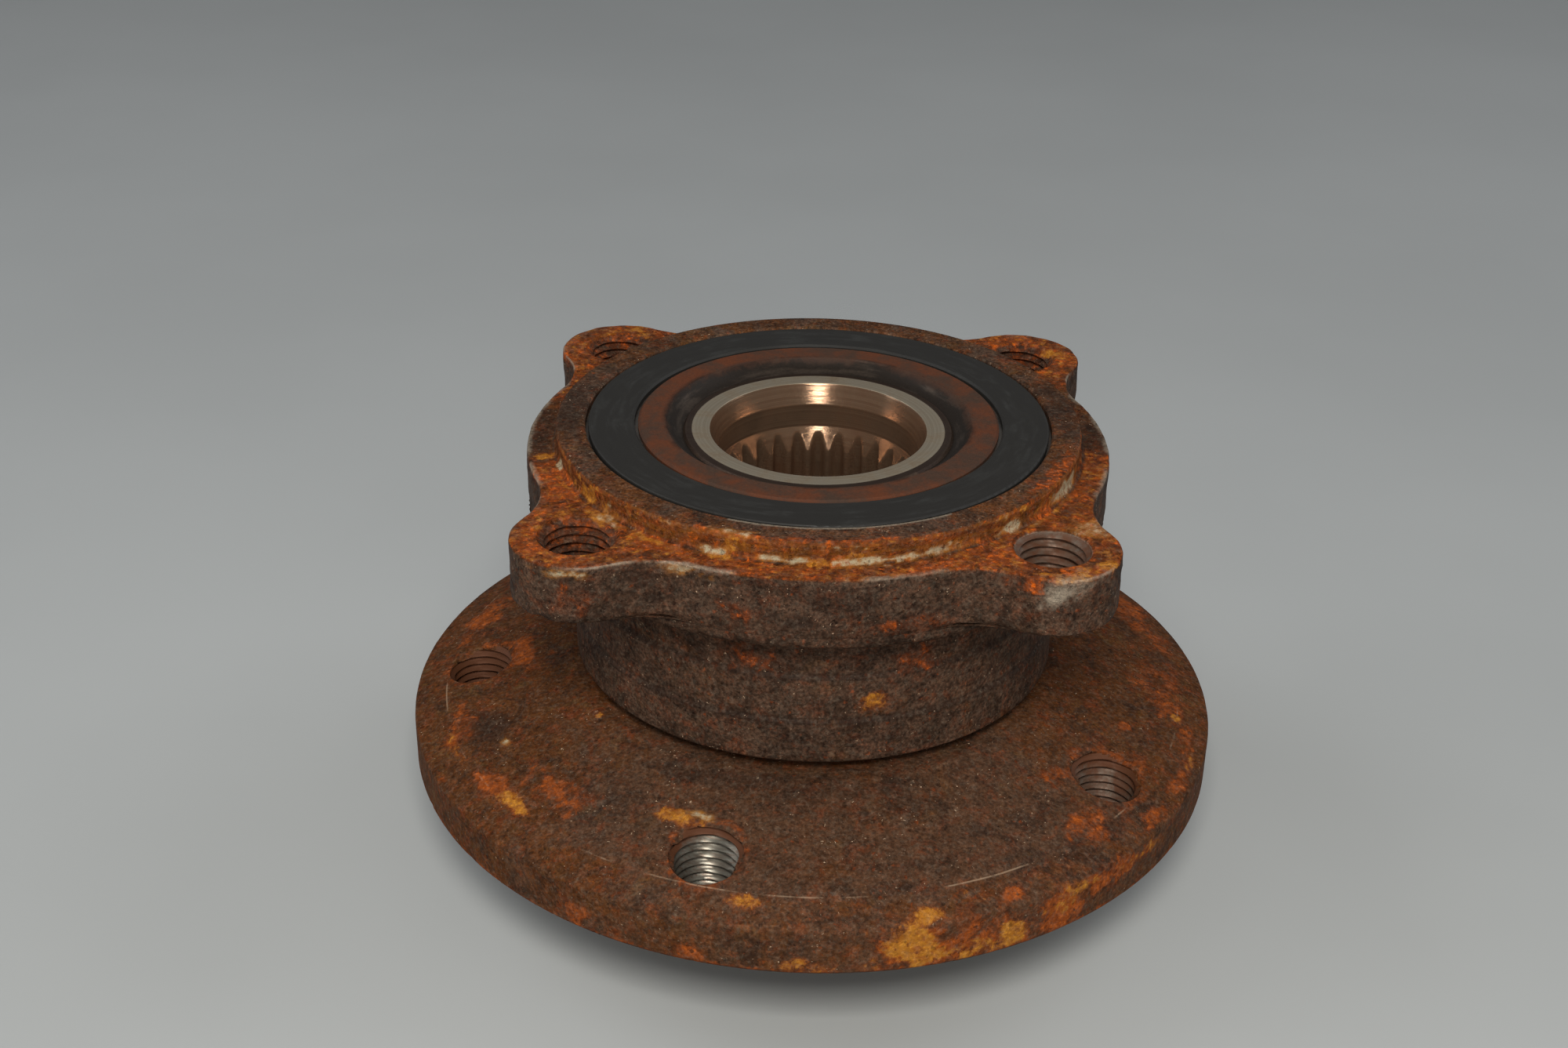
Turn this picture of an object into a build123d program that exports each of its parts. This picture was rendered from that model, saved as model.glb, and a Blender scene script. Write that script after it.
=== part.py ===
from build123d import *
from collections import namedtuple
from math import acos, cos, degrees, radians, sin, sqrt, tan
import os

# Flanged wheel hub bearing unit, third generation, for a driven wheel.
# The wheel hub carries one ball raceway itself and a pressed-on inner ring carries the other.
# Millimetres. Z is the wheel axis and points inboard. Z = 0 is the end of the wheel spigot,
# which the unit stands on.

os.makedirs("parts", exist_ok=True)

# ---- Bearing set -----------------------------------------------------------------------
pitch_radius = 32.5
ball_diameter = 11.906
balls_per_row = 14
contact_angle = 40.0
groove_radius = 6.2
ball_play = 0.04
row_spacing = 18.4
inner_shoulder_drop = 1.5
inner_low_land_height = 1.2
outer_land_rise = 2.1
cage_pocket_play = 0.197
cage_side_clearance = 0.5
cage_width = 4.1
cage_base_thickness = 1.25
cage_overhang = 2.0
outboard_cage_gap = 0.9
inboard_cage_gap = 0.5
cage_scallop_radius = 1.9
cage_edge_chamfer = 0.4

# ---- Wheel hub: spigot, flange and splined spindle --------------------------------------
spigot_length = 20.0
disc_spigot_radius = 37.45
wheel_spigot_step = 1.2
disc_spigot_length = 7.5
spigot_lead_chamfer = 2.0
spigot_undercut = 0.6
spigot_undercut_width = 2.0
nut_recess_depth = 18.0
nut_recess_wall = 5.25
nut_recess_taper = 6.0
recess_fillet = 3.0
hub_rim_thickness = 8.6
hub_root_thickness = 17.6
hub_rim_band_width = 6.2
hub_rim_band_step = 0.15
hub_cone_clearance = 3.6
hub_cone_slope = 0.284
hub_seal_fillet = 3.6
hub_edge_chamfer = 0.9
hub_top_edge_chamfer = 0.35
wheel_bolt_circle = 120.0
wheel_bolt_edge = 12.0
wheel_bolt_count = 5
wheel_bolt_first_angle = -105.5
wheel_bolt_hole_radius = 6.0
disc_screw_angle = 74.5
disc_screw_inset = 1.0
disc_screw_hole_radius = 4.0
bolt_mouth_chamfer = 0.6

spline_teeth = 28
spline_crest_depth = 1.7
spline_root_depth = 0.4
spline_space_mouth = 2.8
spline_space_floor = 0.8
spline_relief_depth = 4.0
spline_relief_clearance = 0.5
bore_radius = 17.3
bore_mouth_width = 1.43
bore_mouth_depth = 3.57
bore_straight_length = 4.3
bore_cone_angle = 22.0

# ---- Pressed inner ring and the rolled nose that holds it --------------------------------
inner_ring_seat_depth = 10.0
inner_ring_edge_chamfer = 0.4
inner_ring_dish_width = 3.8
inner_ring_dish_depth = 2.3
inner_ring_dish_sag = 0.35
inner_ring_flare_width = 0.8
inner_ring_flare_depth = 4.6
nose_face_drop = 0.7
nose_recess = 1.75
nose_round = 0.35
spindle_relief = 0.3
spindle_relief_width = 1.6
ring_face_setback = 0.1

# ---- Outer ring: body, knuckle flange and pilot ------------------------------------------
ring_end_gap = 2.5
ring_wall = 4.0
ring_band_height = 8.1
ring_upper_band_height = 8.2
ring_band_step = 0.4
ring_end_chamfer = 0.6
pilot_wall = 5.0
pilot_height = 3.9
pilot_chamfer = 0.7
pilot_base_fillet = 1.0
knuckle_flange_reach = 5.0
knuckle_flange_thickness = 12.8
knuckle_flange_under_fillet = 2.0
flange_forging_step = 0.25
lug_thickness = 10.3
lug_bolt_reach = 8.0
lug_count = 4
lug_first_angle = 45.0
lug_end_radius = 10.9
lug_blend_radius = 16.0
lug_under_round = 1.2
lug_top_round = 0.5
lug_hole_radius = 6.0
lug_hole_chamfer = 0.7

# ---- Seals --------------------------------------------------------------------------------
seal_section = 9.0
seal_bore_depth = 5.0
seal_shoulder = 0.3
outer_seal_depth = 3.8
seal_sheet = 0.7
seal_setback = 0.3
lip_clearance = 0.3
lip_thickness = 0.9
seal_leg_reach = 3.6
sleeve_sheet = 0.6
encoder_thickness = 1.15
encoder_radial_gap = 0.5
encoder_edge_round = 0.35
sleeve_end_gap = 0.4
sleeve_flange_gap = 0.4
cassette_depth = 4.1

# ---- Radii that follow ---------------------------------------------------------------------
ball_radius = ball_diameter / 2
inner_shoulder_radius = pitch_radius - inner_shoulder_drop
outer_land_radius = pitch_radius + outer_land_rise
inner_ring_bore_radius = pitch_radius - inner_ring_seat_depth
inner_ring_dish_radius = inner_ring_bore_radius + inner_ring_dish_width
inner_ring_flare_radius = inner_ring_bore_radius + inner_ring_flare_width
nose_face_radius = inner_ring_bore_radius - nose_face_drop
seal_bore_radius = inner_shoulder_radius + seal_section
pilot_radius = seal_bore_radius + pilot_wall
knuckle_flange_radius = pilot_radius + knuckle_flange_reach
lug_bolt_circle = 2 * (pilot_radius + lug_bolt_reach)
hub_cone_start = seal_bore_radius + hub_cone_clearance
hub_flange_radius = wheel_bolt_circle / 2 + wheel_bolt_edge
disc_screw_circle = wheel_bolt_circle - 2 * disc_screw_inset
wheel_spigot_radius = disc_spigot_radius - wheel_spigot_step
nut_recess_mouth_radius = wheel_spigot_radius - nut_recess_wall
nut_seat_radius = nut_recess_mouth_radius - nut_recess_taper
bore_mouth_radius = bore_radius + bore_mouth_width
spline_minor_radius = bore_radius - spline_crest_depth
spline_major_radius = bore_radius - spline_root_depth

# ---- Heights that follow -------------------------------------------------------------------
cage_reach = ball_radius + cage_pocket_play + cage_base_thickness
outboard_row_inset = outer_seal_depth + outboard_cage_gap + cage_reach
inboard_row_inset = cassette_depth + inboard_cage_gap + cage_reach
wheel_face_z = spigot_length
seal_face_z = wheel_face_z + hub_root_thickness
ring_low_z = seal_face_z + ring_end_gap
outboard_row_z = ring_low_z + outboard_row_inset
inboard_row_z = outboard_row_z + row_spacing
ring_high_z = inboard_row_z + inboard_row_inset
abutment_z = outboard_row_z + row_spacing / 2
inner_face_z = ring_high_z - ring_face_setback
nose_face_z = inner_face_z - nose_recess
knuckle_face_z = ring_high_z - pilot_height
lug_low_z = knuckle_face_z - lug_thickness
knuckle_flange_low_z = knuckle_face_z - knuckle_flange_thickness
ball_offset = groove_radius - ball_radius - ball_play
nut_seat_z = nut_recess_depth
cassette_low_z = ring_high_z - cassette_depth
encoder_high_z = ring_high_z
encoder_low_z = encoder_high_z - encoder_thickness

touch = 0.01      # how near an edge lies to its stated place
over_cut = 3.0    # how far a cutter runs past the faces that it cuts
spline_over_cut = 1.0
OUTBOARD = 1      # the bearing's middle lies above this row
INBOARD = -1      # and below this one

Arc = namedtuple("Arc", "mid end")


def spin(start, *steps):
    """Revolve a closed outline about Z. Points are (radius, z); an Arc goes through mid to end."""
    edges = []
    here = Vector(start[0], 0, start[1])
    first = here
    for step in steps:
        if isinstance(step, Arc):
            middle = Vector(step.mid[0], 0, step.mid[1])
            there = Vector(step.end[0], 0, step.end[1])
            edges.append(ThreePointArc(here, middle, there))
        else:
            there = Vector(step[0], 0, step[1])
            edges.append(Line(here, there))
        here = there
    edges.append(Line(here, first))
    return revolve(make_face(edges), Axis.Z)


def quarter(corner, start, end, radius):
    """The arc of a 90 degree fillet or round, from start to end, that cuts off corner."""
    centre_r = start[0] + end[0] - corner[0]
    centre_z = start[1] + end[1] - corner[1]
    reach = radius / sqrt(2)
    side_r = 1 if corner[0] > centre_r else -1
    side_z = 1 if corner[1] > centre_z else -1
    return Arc((centre_r + side_r * reach, centre_z + side_z * reach), end)


def row_height(side):
    """Height of the ball centres of one row."""
    return outboard_row_z if side == OUTBOARD else inboard_row_z


def outer_groove(side):
    """Centre of the outer raceway's section: its contact leans towards the bearing's middle."""
    lean = radians(contact_angle)
    return pitch_radius - ball_offset * cos(lean), row_height(side) - side * ball_offset * sin(lean)


def inner_groove(side):
    """Centre of the inner raceway's section: its contact leans away from the middle."""
    lean = radians(contact_angle)
    return pitch_radius + ball_offset * cos(lean), row_height(side) + side * ball_offset * sin(lean)


def outer_groove_depth():
    """Radius of the outer raceways' floor, which the open side of each row carries on."""
    return outer_groove(OUTBOARD)[0] + groove_radius


def inner_groove_depth():
    """Radius of the inner raceways' floor."""
    return inner_groove(OUTBOARD)[0] - groove_radius


def groove_point(centre, angle):
    """A point of a raceway's section, by its angle from outwards, upwards positive."""
    turn = radians(angle)
    return centre[0] + groove_radius * cos(turn), centre[1] + groove_radius * sin(turn)


def ring_body_radius():
    """Outer radius of the outer ring's lower band."""
    return outer_groove_depth() + ring_wall


def circle_edges(solid, radius, height):
    """A solid's circular edges of one radius at one height."""
    return [
        edge
        for edge in solid.edges().filter_by(GeomType.CIRCLE)
        if abs(edge.radius - radius) < touch and abs(edge.center().Z - height) < touch
    ]


def hole_tool(radius, low, high, chamfer, low_chamfer=0.0):
    """A bolt hole's cutter, from below its low face to above its high one, with mouth chamfers."""
    wide = radius + chamfer
    low_wide = radius + low_chamfer
    low_end = [(low_wide, low - over_cut), (low_wide, low), (radius, low + low_chamfer)]
    if low_chamfer == 0:
        low_end = [(radius, low - over_cut)]
    return spin(
        (0, low - over_cut),
        *low_end,
        (radius, high - chamfer),
        (wide, high),
        (wide, high + over_cut),
        (0, high + over_cut),
    )


def around(count, circle, first_angle):
    """Places on a bolt circle, given by its diameter."""
    return [
        Pos(circle / 2 * cos(turn), circle / 2 * sin(turn), 0)
        for turn in (radians(first_angle + 360 / count * place) for place in range(count))
    ]


# ---- Wheel hub ------------------------------------------------------------------------------
def hub_top(radius):
    """Height of the wheel flange's coned inboard side at a radius."""
    return seal_face_z - hub_cone_slope * (radius - hub_cone_start)


def hub_flange_side():
    """Outline of the wheel flange from the spigot's root round the rim to the seal face."""
    band_radius = hub_flange_radius - hub_rim_band_width
    rim_z = wheel_face_z + hub_rim_thickness
    return [
        (disc_spigot_radius, wheel_face_z - spigot_undercut_width),
        (disc_spigot_radius - spigot_undercut, wheel_face_z - spigot_undercut_width + spigot_undercut),
        (disc_spigot_radius - spigot_undercut, wheel_face_z + spigot_undercut),
        (disc_spigot_radius + spigot_undercut, wheel_face_z + spigot_undercut),
        (disc_spigot_radius + 2 * spigot_undercut, wheel_face_z),
        (hub_flange_radius - hub_edge_chamfer, wheel_face_z),
        (hub_flange_radius, wheel_face_z + hub_edge_chamfer),
        (hub_flange_radius, rim_z - hub_top_edge_chamfer),
        (hub_flange_radius - hub_top_edge_chamfer, rim_z),
        (band_radius, hub_top(band_radius) - hub_rim_band_step),
        (band_radius - hub_rim_band_step, hub_top(band_radius - hub_rim_band_step)),
        (hub_cone_start, hub_top(hub_cone_start)),
    ]


def hub_spindle_side():
    """Outline of the spindle from the seal face up over the raceway to the rolled nose."""
    centre = inner_groove(OUTBOARD)
    high = degrees(acos((centre[0] - inner_shoulder_radius) / groove_radius))
    low_radius = inner_groove_depth() + inner_low_land_height
    low = degrees(acos((centre[0] - low_radius) / groove_radius))
    foot = (inner_shoulder_radius + hub_seal_fillet, seal_face_z)
    rise = (inner_shoulder_radius, seal_face_z + hub_seal_fillet)
    flare_z = inner_face_z - inner_ring_flare_depth
    return [
        foot,
        quarter((inner_shoulder_radius, seal_face_z), foot, rise, hub_seal_fillet),
        groove_point(centre, 180 + high),
        Arc(groove_point(centre, 180), groove_point(centre, 180 - low)),
        (low_radius, abutment_z - inner_ring_edge_chamfer),
        (low_radius - inner_ring_edge_chamfer, abutment_z),
        (inner_ring_bore_radius + spindle_relief, abutment_z),
        (inner_ring_bore_radius - spindle_relief, abutment_z),
        (inner_ring_bore_radius - spindle_relief, abutment_z + spindle_relief_width),
        (inner_ring_bore_radius, abutment_z + spindle_relief_width + spindle_relief),
        (inner_ring_bore_radius, flare_z),
        (inner_ring_flare_radius, inner_face_z - inner_ring_dish_depth),
        Arc(
            (inner_ring_flare_radius - nose_round, nose_face_z - nose_round),
            (nose_face_radius, nose_face_z),
        ),
    ]


def hub_bore_side():
    """Outline of the hub's inside from the nose down through the spline to the spigot's mouth."""
    lead = tan(radians(bore_cone_angle))
    straight_top = nose_face_z - bore_mouth_depth
    straight_low = straight_top - bore_straight_length
    spline_top = straight_low - (bore_radius - spline_minor_radius) / lead
    relief_radius = spline_major_radius + spline_relief_clearance
    relief_top = nut_seat_z + spline_relief_depth
    return [
        (bore_mouth_radius, nose_face_z),
        (bore_radius, straight_top),
        (bore_radius, straight_low),
        (spline_minor_radius, spline_top),
        (spline_minor_radius, relief_top + relief_radius - spline_minor_radius),
        (relief_radius, relief_top),
        (relief_radius, nut_seat_z + spline_relief_clearance),
        (relief_radius + spline_relief_clearance, nut_seat_z),
        (nut_seat_radius, nut_seat_z),
    ]


def flange_hole_tool(radius, circle):
    """Cutter for a wheel flange hole on a circle, given by its diameter."""
    return hole_tool(
        radius, wheel_face_z, hub_top(circle / 2), bolt_mouth_chamfer, low_chamfer=bolt_mouth_chamfer
    )


def spline_spaces():
    """Cutter for the spaces between the spline's teeth, coned off by the bore above them."""
    low = nut_seat_z + spline_relief_depth
    high = nose_face_z - bore_mouth_depth
    inside = spline_minor_radius - spline_over_cut
    flare = (spline_space_mouth - spline_space_floor) / (spline_major_radius - spline_minor_radius)
    mouth = spline_space_mouth + flare * spline_over_cut
    section = Polygon(
        (inside, -mouth / 2),
        (spline_major_radius, -spline_space_floor / 2),
        (spline_major_radius, spline_space_floor / 2),
        (inside, mouth / 2),
        align=None,
    )
    ring = Sketch() + [Rot(0, 0, 360 / spline_teeth * tooth) * section for tooth in range(spline_teeth)]
    return Pos(0, 0, low) * extrude(ring, high - low)


def make_wheel_hub():
    """The turned and broached hub forging with its wheel bolt holes."""
    turned = spin(
        (nut_recess_mouth_radius, 0),
        (wheel_spigot_radius - spigot_lead_chamfer, 0),
        (wheel_spigot_radius, spigot_lead_chamfer * 2),
        (wheel_spigot_radius, wheel_face_z - disc_spigot_length),
        (disc_spigot_radius, wheel_face_z - disc_spigot_length + disc_spigot_radius - wheel_spigot_radius),
        *hub_flange_side(),
        *hub_spindle_side(),
        *hub_bore_side(),
    )
    turned = fillet(circle_edges(turned, nut_seat_radius, nut_seat_z), recess_fillet)
    bolt_tool = flange_hole_tool(wheel_bolt_hole_radius, wheel_bolt_circle)
    bolt_places = around(wheel_bolt_count, wheel_bolt_circle, wheel_bolt_first_angle)
    cutters = [place * bolt_tool for place in bolt_places]
    screw_tool = flange_hole_tool(disc_screw_hole_radius, disc_screw_circle)
    cutters += [place * screw_tool for place in around(1, disc_screw_circle, disc_screw_angle)]
    return turned - cutters - spline_spaces()


# ---- Inner ring -----------------------------------------------------------------------------
def make_inner_ring():
    """The pressed-on ring with the inboard raceway and a dished bore corner at its face."""
    centre = inner_groove(INBOARD)
    high = degrees(acos((centre[0] - inner_shoulder_radius) / groove_radius))
    low_radius = inner_groove_depth() + inner_low_land_height
    low = degrees(acos((centre[0] - low_radius) / groove_radius))
    edge = inner_ring_edge_chamfer
    dish_low = (inner_ring_flare_radius, inner_face_z - inner_ring_dish_depth)
    dish_mid = (
        (inner_ring_flare_radius + inner_ring_dish_radius) / 2,
        inner_face_z - inner_ring_dish_depth / 2 - inner_ring_dish_sag,
    )
    return spin(
        (inner_ring_bore_radius + edge, abutment_z),
        (low_radius - edge, abutment_z),
        (low_radius, abutment_z + edge),
        groove_point(centre, 180 + low),
        Arc(groove_point(centre, 180), groove_point(centre, 180 - high)),
        (inner_shoulder_radius, inner_face_z - edge),
        (inner_shoulder_radius - edge, inner_face_z),
        (inner_ring_dish_radius, inner_face_z),
        Arc(dish_mid, dish_low),
        (inner_ring_bore_radius, inner_face_z - inner_ring_flare_depth),
        (inner_ring_bore_radius, abutment_z + edge),
    )


# ---- Outer ring -----------------------------------------------------------------------------
def ring_inside():
    """Outline of the outer ring's inside, from the outboard end up over both raceways."""
    low_groove = outer_groove(OUTBOARD)
    high_groove = outer_groove(INBOARD)
    reach = degrees(acos((outer_land_radius - low_groove[0]) / groove_radius))
    open_radius = outer_groove_depth()
    shelf_z = ring_high_z - seal_bore_depth
    seat_radius = open_radius + seal_shoulder
    seat_top = ring_low_z + outer_seal_depth + seal_setback
    return [
        (seat_radius + seal_setback, ring_low_z),
        (seat_radius, ring_low_z + seal_setback),
        (seat_radius, seat_top),
        (open_radius, seat_top),
        (open_radius, low_groove[1]),
        Arc(groove_point(low_groove, reach / 2), groove_point(low_groove, reach)),
        groove_point(high_groove, -reach),
        Arc(groove_point(high_groove, -reach / 2), groove_point(high_groove, 0)),
        (open_radius, shelf_z),
        (seal_bore_radius, shelf_z),
        (seal_bore_radius, ring_high_z - seal_setback),
        (seal_bore_radius + seal_setback, ring_high_z),
    ]


def ring_outside():
    """Outline of the outer ring's outside, from the pilot's face down to the outboard end."""
    low_band = ring_body_radius()
    mid_band = low_band - ring_band_step
    neck = mid_band - ring_band_step
    band_z = ring_low_z + ring_band_height
    upper_z = band_z + ring_upper_band_height
    flange_radius = knuckle_flange_radius - flange_forging_step
    under = knuckle_flange_under_fillet
    end_round = lug_under_round
    neck_top = (neck, knuckle_flange_low_z - under)
    flange_start = (neck + under, knuckle_flange_low_z)
    round_start = (flange_radius, knuckle_flange_low_z + end_round)
    round_end = (flange_radius - end_round, knuckle_flange_low_z)
    return [
        (pilot_radius - pilot_chamfer, ring_high_z),
        (pilot_radius, ring_high_z - pilot_chamfer),
        (pilot_radius, knuckle_face_z - lug_thickness / 2),
        (flange_radius, knuckle_face_z - lug_thickness / 2),
        round_start,
        quarter((flange_radius, knuckle_flange_low_z), round_start, round_end, end_round),
        flange_start,
        quarter((neck, knuckle_flange_low_z), flange_start, neck_top, under),
        (neck, upper_z),
        (mid_band, upper_z - ring_band_step),
        (mid_band, band_z),
        (low_band, band_z - ring_band_step),
        (low_band, ring_low_z + ring_end_chamfer),
        (low_band - ring_end_chamfer, ring_low_z),
    ]


def lug_plate():
    """The four-lugged plate of the knuckle flange, with blends between lugs and round."""
    outline = Sketch() + Circle(knuckle_flange_radius)
    for place in around(lug_count, lug_bolt_circle, lug_first_angle):
        outline += place * Circle(lug_end_radius)
    outline = fillet(outline.vertices(), lug_blend_radius)
    plate = extrude(Pos(0, 0, lug_low_z) * outline, lug_thickness)
    plate = fillet(plate.faces().sort_by(Axis.Z)[0].edges(), lug_under_round)
    plate = fillet(plate.faces().sort_by(Axis.Z)[-1].edges(), lug_top_round)
    middle = Pos(0, 0, lug_low_z + lug_thickness / 2) * Cylinder(pilot_radius, lug_thickness + over_cut)
    return plate - middle


def make_outer_ring():
    """The stationary ring: two raceways, the body, the knuckle flange and its pilot."""
    ring = spin(*ring_inside(), *ring_outside()) + lug_plate()
    ring = fillet(circle_edges(ring, pilot_radius, knuckle_face_z), pilot_base_fillet)
    tool = hole_tool(lug_hole_radius, knuckle_flange_low_z, knuckle_face_z, lug_hole_chamfer)
    return ring - [place * tool for place in around(lug_count, lug_bolt_circle, lug_first_angle)]


# ---- Rolling elements -----------------------------------------------------------------------
def ball_places(side):
    """Places of one row's ball centres. The inboard row is set half a pitch round."""
    offset = 0 if side == OUTBOARD else 180 / balls_per_row
    height = Pos(0, 0, row_height(side))
    return [height * place for place in around(balls_per_row, 2 * pitch_radius, offset)]


def make_cage(side):
    """A snap cage: a base ring on the row's open side and horns that reach past the balls."""
    pocket_radius = ball_radius + cage_pocket_play
    base_z = row_height(side) - side * cage_reach
    horn_z = row_height(side) + side * cage_overhang
    inside = inner_shoulder_radius + cage_side_clearance
    outside = inside + cage_width
    edge = cage_edge_chamfer
    lip_z = base_z + side * edge
    ring = spin(
        (inside + edge, base_z),
        (outside - edge, base_z),
        (outside, lip_z),
        (outside, horn_z),
        (inside, horn_z),
        (inside, lip_z),
    )
    pockets = [place * Sphere(pocket_radius) for place in ball_places(side)]
    scallop = Rot(0, 90, 0) * Cylinder(cage_scallop_radius, 4 * cage_width)
    turn = 180 / balls_per_row
    scallops = [
        Rot(0, 0, turn) * place * Pos(0, 0, side * cage_overhang) * Rot(0, 0, spoke) * scallop
        for spoke, place in zip(ball_angles(side), ball_places(side))
    ]
    return ring - pockets - scallops


def ball_angles(side):
    """Directions of one row's balls about the axis, in degrees."""
    offset = 0 if side == OUTBOARD else 180 / balls_per_row
    return [offset + 360 / balls_per_row * place for place in range(balls_per_row)]


# ---- Seals ----------------------------------------------------------------------------------
def make_outboard_seal_case():
    """The pressed steel ring of the outboard seal, seated in the outer ring's end."""
    seat = outer_groove_depth() + seal_shoulder
    low = ring_low_z + seal_setback
    high = ring_low_z + outer_seal_depth
    inner_leg = inner_shoulder_radius + seal_leg_reach
    return spin(
        (seat - seal_sheet, low),
        (seat, low),
        (seat, high),
        (inner_leg, high),
        (inner_leg, high - seal_sheet),
        (seat - seal_sheet, high - seal_sheet),
    )


def make_outboard_seal_lips():
    """The rubber bonded under the outboard case, with one radial and one axial lip."""
    case_low = ring_low_z + outer_seal_depth - seal_sheet
    case_edge = inner_shoulder_radius + seal_leg_reach
    tip_radius = inner_shoulder_radius + lip_clearance
    outer_wall = outer_groove_depth() + seal_shoulder - seal_sheet
    axial_tip_z = seal_face_z + lip_clearance
    axial_tip_r = outer_wall - lip_thickness
    root_z = case_low - lip_thickness
    return spin(
        (case_edge, case_low),
        (tip_radius, case_low - lip_thickness / 3),
        (tip_radius, root_z - lip_thickness / 3),
        (case_edge + lip_thickness / 2, root_z),
        (axial_tip_r - lip_thickness, axial_tip_z),
        (axial_tip_r, axial_tip_z),
        (case_edge + 2 * lip_thickness, root_z),
        (outer_wall, root_z),
        (outer_wall, case_low),
    )


def make_inboard_seal_case():
    """The cassette seal's fixed steel ring, pressed into the outer ring's inboard bore."""
    high = encoder_low_z - sleeve_flange_gap
    inner_leg = inner_shoulder_radius + seal_leg_reach
    return spin(
        (seal_bore_radius - seal_sheet, high),
        (seal_bore_radius, high),
        (seal_bore_radius, cassette_low_z),
        (inner_leg, cassette_low_z),
        (inner_leg, cassette_low_z + seal_sheet),
        (seal_bore_radius - seal_sheet, cassette_low_z + seal_sheet),
    )


def make_inboard_seal_lips():
    """The rubber bonded on the fixed ring, with lips towards the encoder sleeve."""
    base_z = cassette_low_z + seal_sheet
    case_edge = inner_shoulder_radius + seal_leg_reach
    tip_radius = inner_shoulder_radius + sleeve_sheet + lip_clearance
    root_z = base_z + lip_thickness / 2
    axial_tip_z = encoder_low_z - sleeve_sheet - lip_clearance
    outer_wall = seal_bore_radius - seal_sheet
    return spin(
        (case_edge, base_z),
        (tip_radius, base_z + lip_thickness / 4),
        (tip_radius, root_z + lip_thickness / 4),
        (case_edge + lip_thickness / 2, root_z),
        (case_edge + lip_thickness, axial_tip_z),
        (case_edge + 1.5 * lip_thickness, axial_tip_z),
        (case_edge + 2 * lip_thickness, root_z),
        (outer_wall, root_z),
        (outer_wall, base_z),
    )


def make_encoder_sleeve():
    """The stainless sleeve on the inner ring's shoulder, flanged outwards under the encoder."""
    bore = inner_shoulder_radius
    rim = seal_bore_radius - seal_sheet - sleeve_end_gap
    low = cassette_low_z + sleeve_end_gap
    return spin(
        (bore, low),
        (bore + sleeve_sheet, low),
        (bore + sleeve_sheet, encoder_low_z - sleeve_sheet),
        (rim, encoder_low_z - sleeve_sheet),
        (rim, encoder_low_z),
        (bore, encoder_low_z),
    )


def make_encoder_ring():
    """The magnetised rubber ring bonded on the sleeve's flange, level with the pilot's face."""
    inside = inner_shoulder_radius + sleeve_sheet
    outside = seal_bore_radius - encoder_radial_gap
    edge = encoder_edge_round
    top = (outside - edge, encoder_high_z)
    side = (outside, encoder_high_z - edge)
    return spin(
        (inside, encoder_low_z),
        (outside, encoder_low_z),
        side,
        quarter((outside, encoder_high_z), side, top, edge),
        (inside + edge, encoder_high_z),
        (inside, encoder_high_z - edge),
    )


def write(shape, name):
    """Write one node's STEP file."""
    shape.label = name
    export_step(shape, f"parts/{name}.step")


def main():
    """Build every piece and write it to its own file."""
    write(make_wheel_hub(), "wheel_hub")
    write(make_inner_ring(), "inner_ring")
    write(make_outer_ring(), "outer_ring")
    for side, row in ((OUTBOARD, "outboard"), (INBOARD, "inboard")):
        write(make_cage(side), f"{row}_cage")
        for number, place in enumerate(ball_places(side), start=1):
            write(place * Sphere(ball_radius), f"{row}_ball_{number:02d}")
    write(make_outboard_seal_case(), "outboard_seal_case")
    write(make_outboard_seal_lips(), "outboard_seal_lips")
    write(make_inboard_seal_case(), "inboard_seal_case")
    write(make_inboard_seal_lips(), "inboard_seal_lips")
    write(make_encoder_sleeve(), "encoder_sleeve")
    write(make_encoder_ring(), "encoder_ring")


main()
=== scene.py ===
"""Dresses a flanged wheel hub bearing that has rusted on a car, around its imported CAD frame.

Sizes are in millimetres with Z along the wheel axis, as in the CAD, until a mesh is made in metres.
Angles run round Z from +X. The hub forging and the outer ring are meshed again here, fine enough to
carry forging texture, pitting and real screw threads; every other piece keeps its CAD mesh.
"""

import logging
import math
import sys
from dataclasses import dataclass, field
from enum import Enum, IntEnum

import bpy
import numpy as np
from mathutils import Matrix, Vector

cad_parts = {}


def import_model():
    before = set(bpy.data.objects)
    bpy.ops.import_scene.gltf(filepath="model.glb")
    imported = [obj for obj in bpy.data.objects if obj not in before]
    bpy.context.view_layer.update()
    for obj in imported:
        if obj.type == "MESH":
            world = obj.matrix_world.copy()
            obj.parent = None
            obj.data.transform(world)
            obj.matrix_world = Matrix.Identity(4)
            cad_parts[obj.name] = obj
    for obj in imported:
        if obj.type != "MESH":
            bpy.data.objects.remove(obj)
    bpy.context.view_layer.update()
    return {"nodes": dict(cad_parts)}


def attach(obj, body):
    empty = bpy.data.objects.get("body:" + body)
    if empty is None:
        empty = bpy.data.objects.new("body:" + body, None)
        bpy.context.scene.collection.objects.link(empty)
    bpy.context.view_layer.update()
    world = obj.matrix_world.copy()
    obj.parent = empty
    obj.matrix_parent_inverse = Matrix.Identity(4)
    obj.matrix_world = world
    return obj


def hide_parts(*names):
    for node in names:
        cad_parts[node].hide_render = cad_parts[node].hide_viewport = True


LOG = logging.getLogger("hub_bearing")
MM = 0.001
# Longest stretches between two mesh rows: where the skin is rough, on plain faces, and out of sight.
FINE = 0.75
MEDIUM = 1.4
COARSE = 3.0
# Smallest step along a rounding, and its widest turn in degrees.
ROUND_STEP = 0.2
ROUND_TURN = 30
# Faces that meet at a larger angle than this keep a hard edge.
SHARP_ANGLE = math.radians(38.0)
# Azimuth of the front, which the weathering changes away from and where the pilot's highlight is painted, in
# degrees.
FRONT = -84.0
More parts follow.
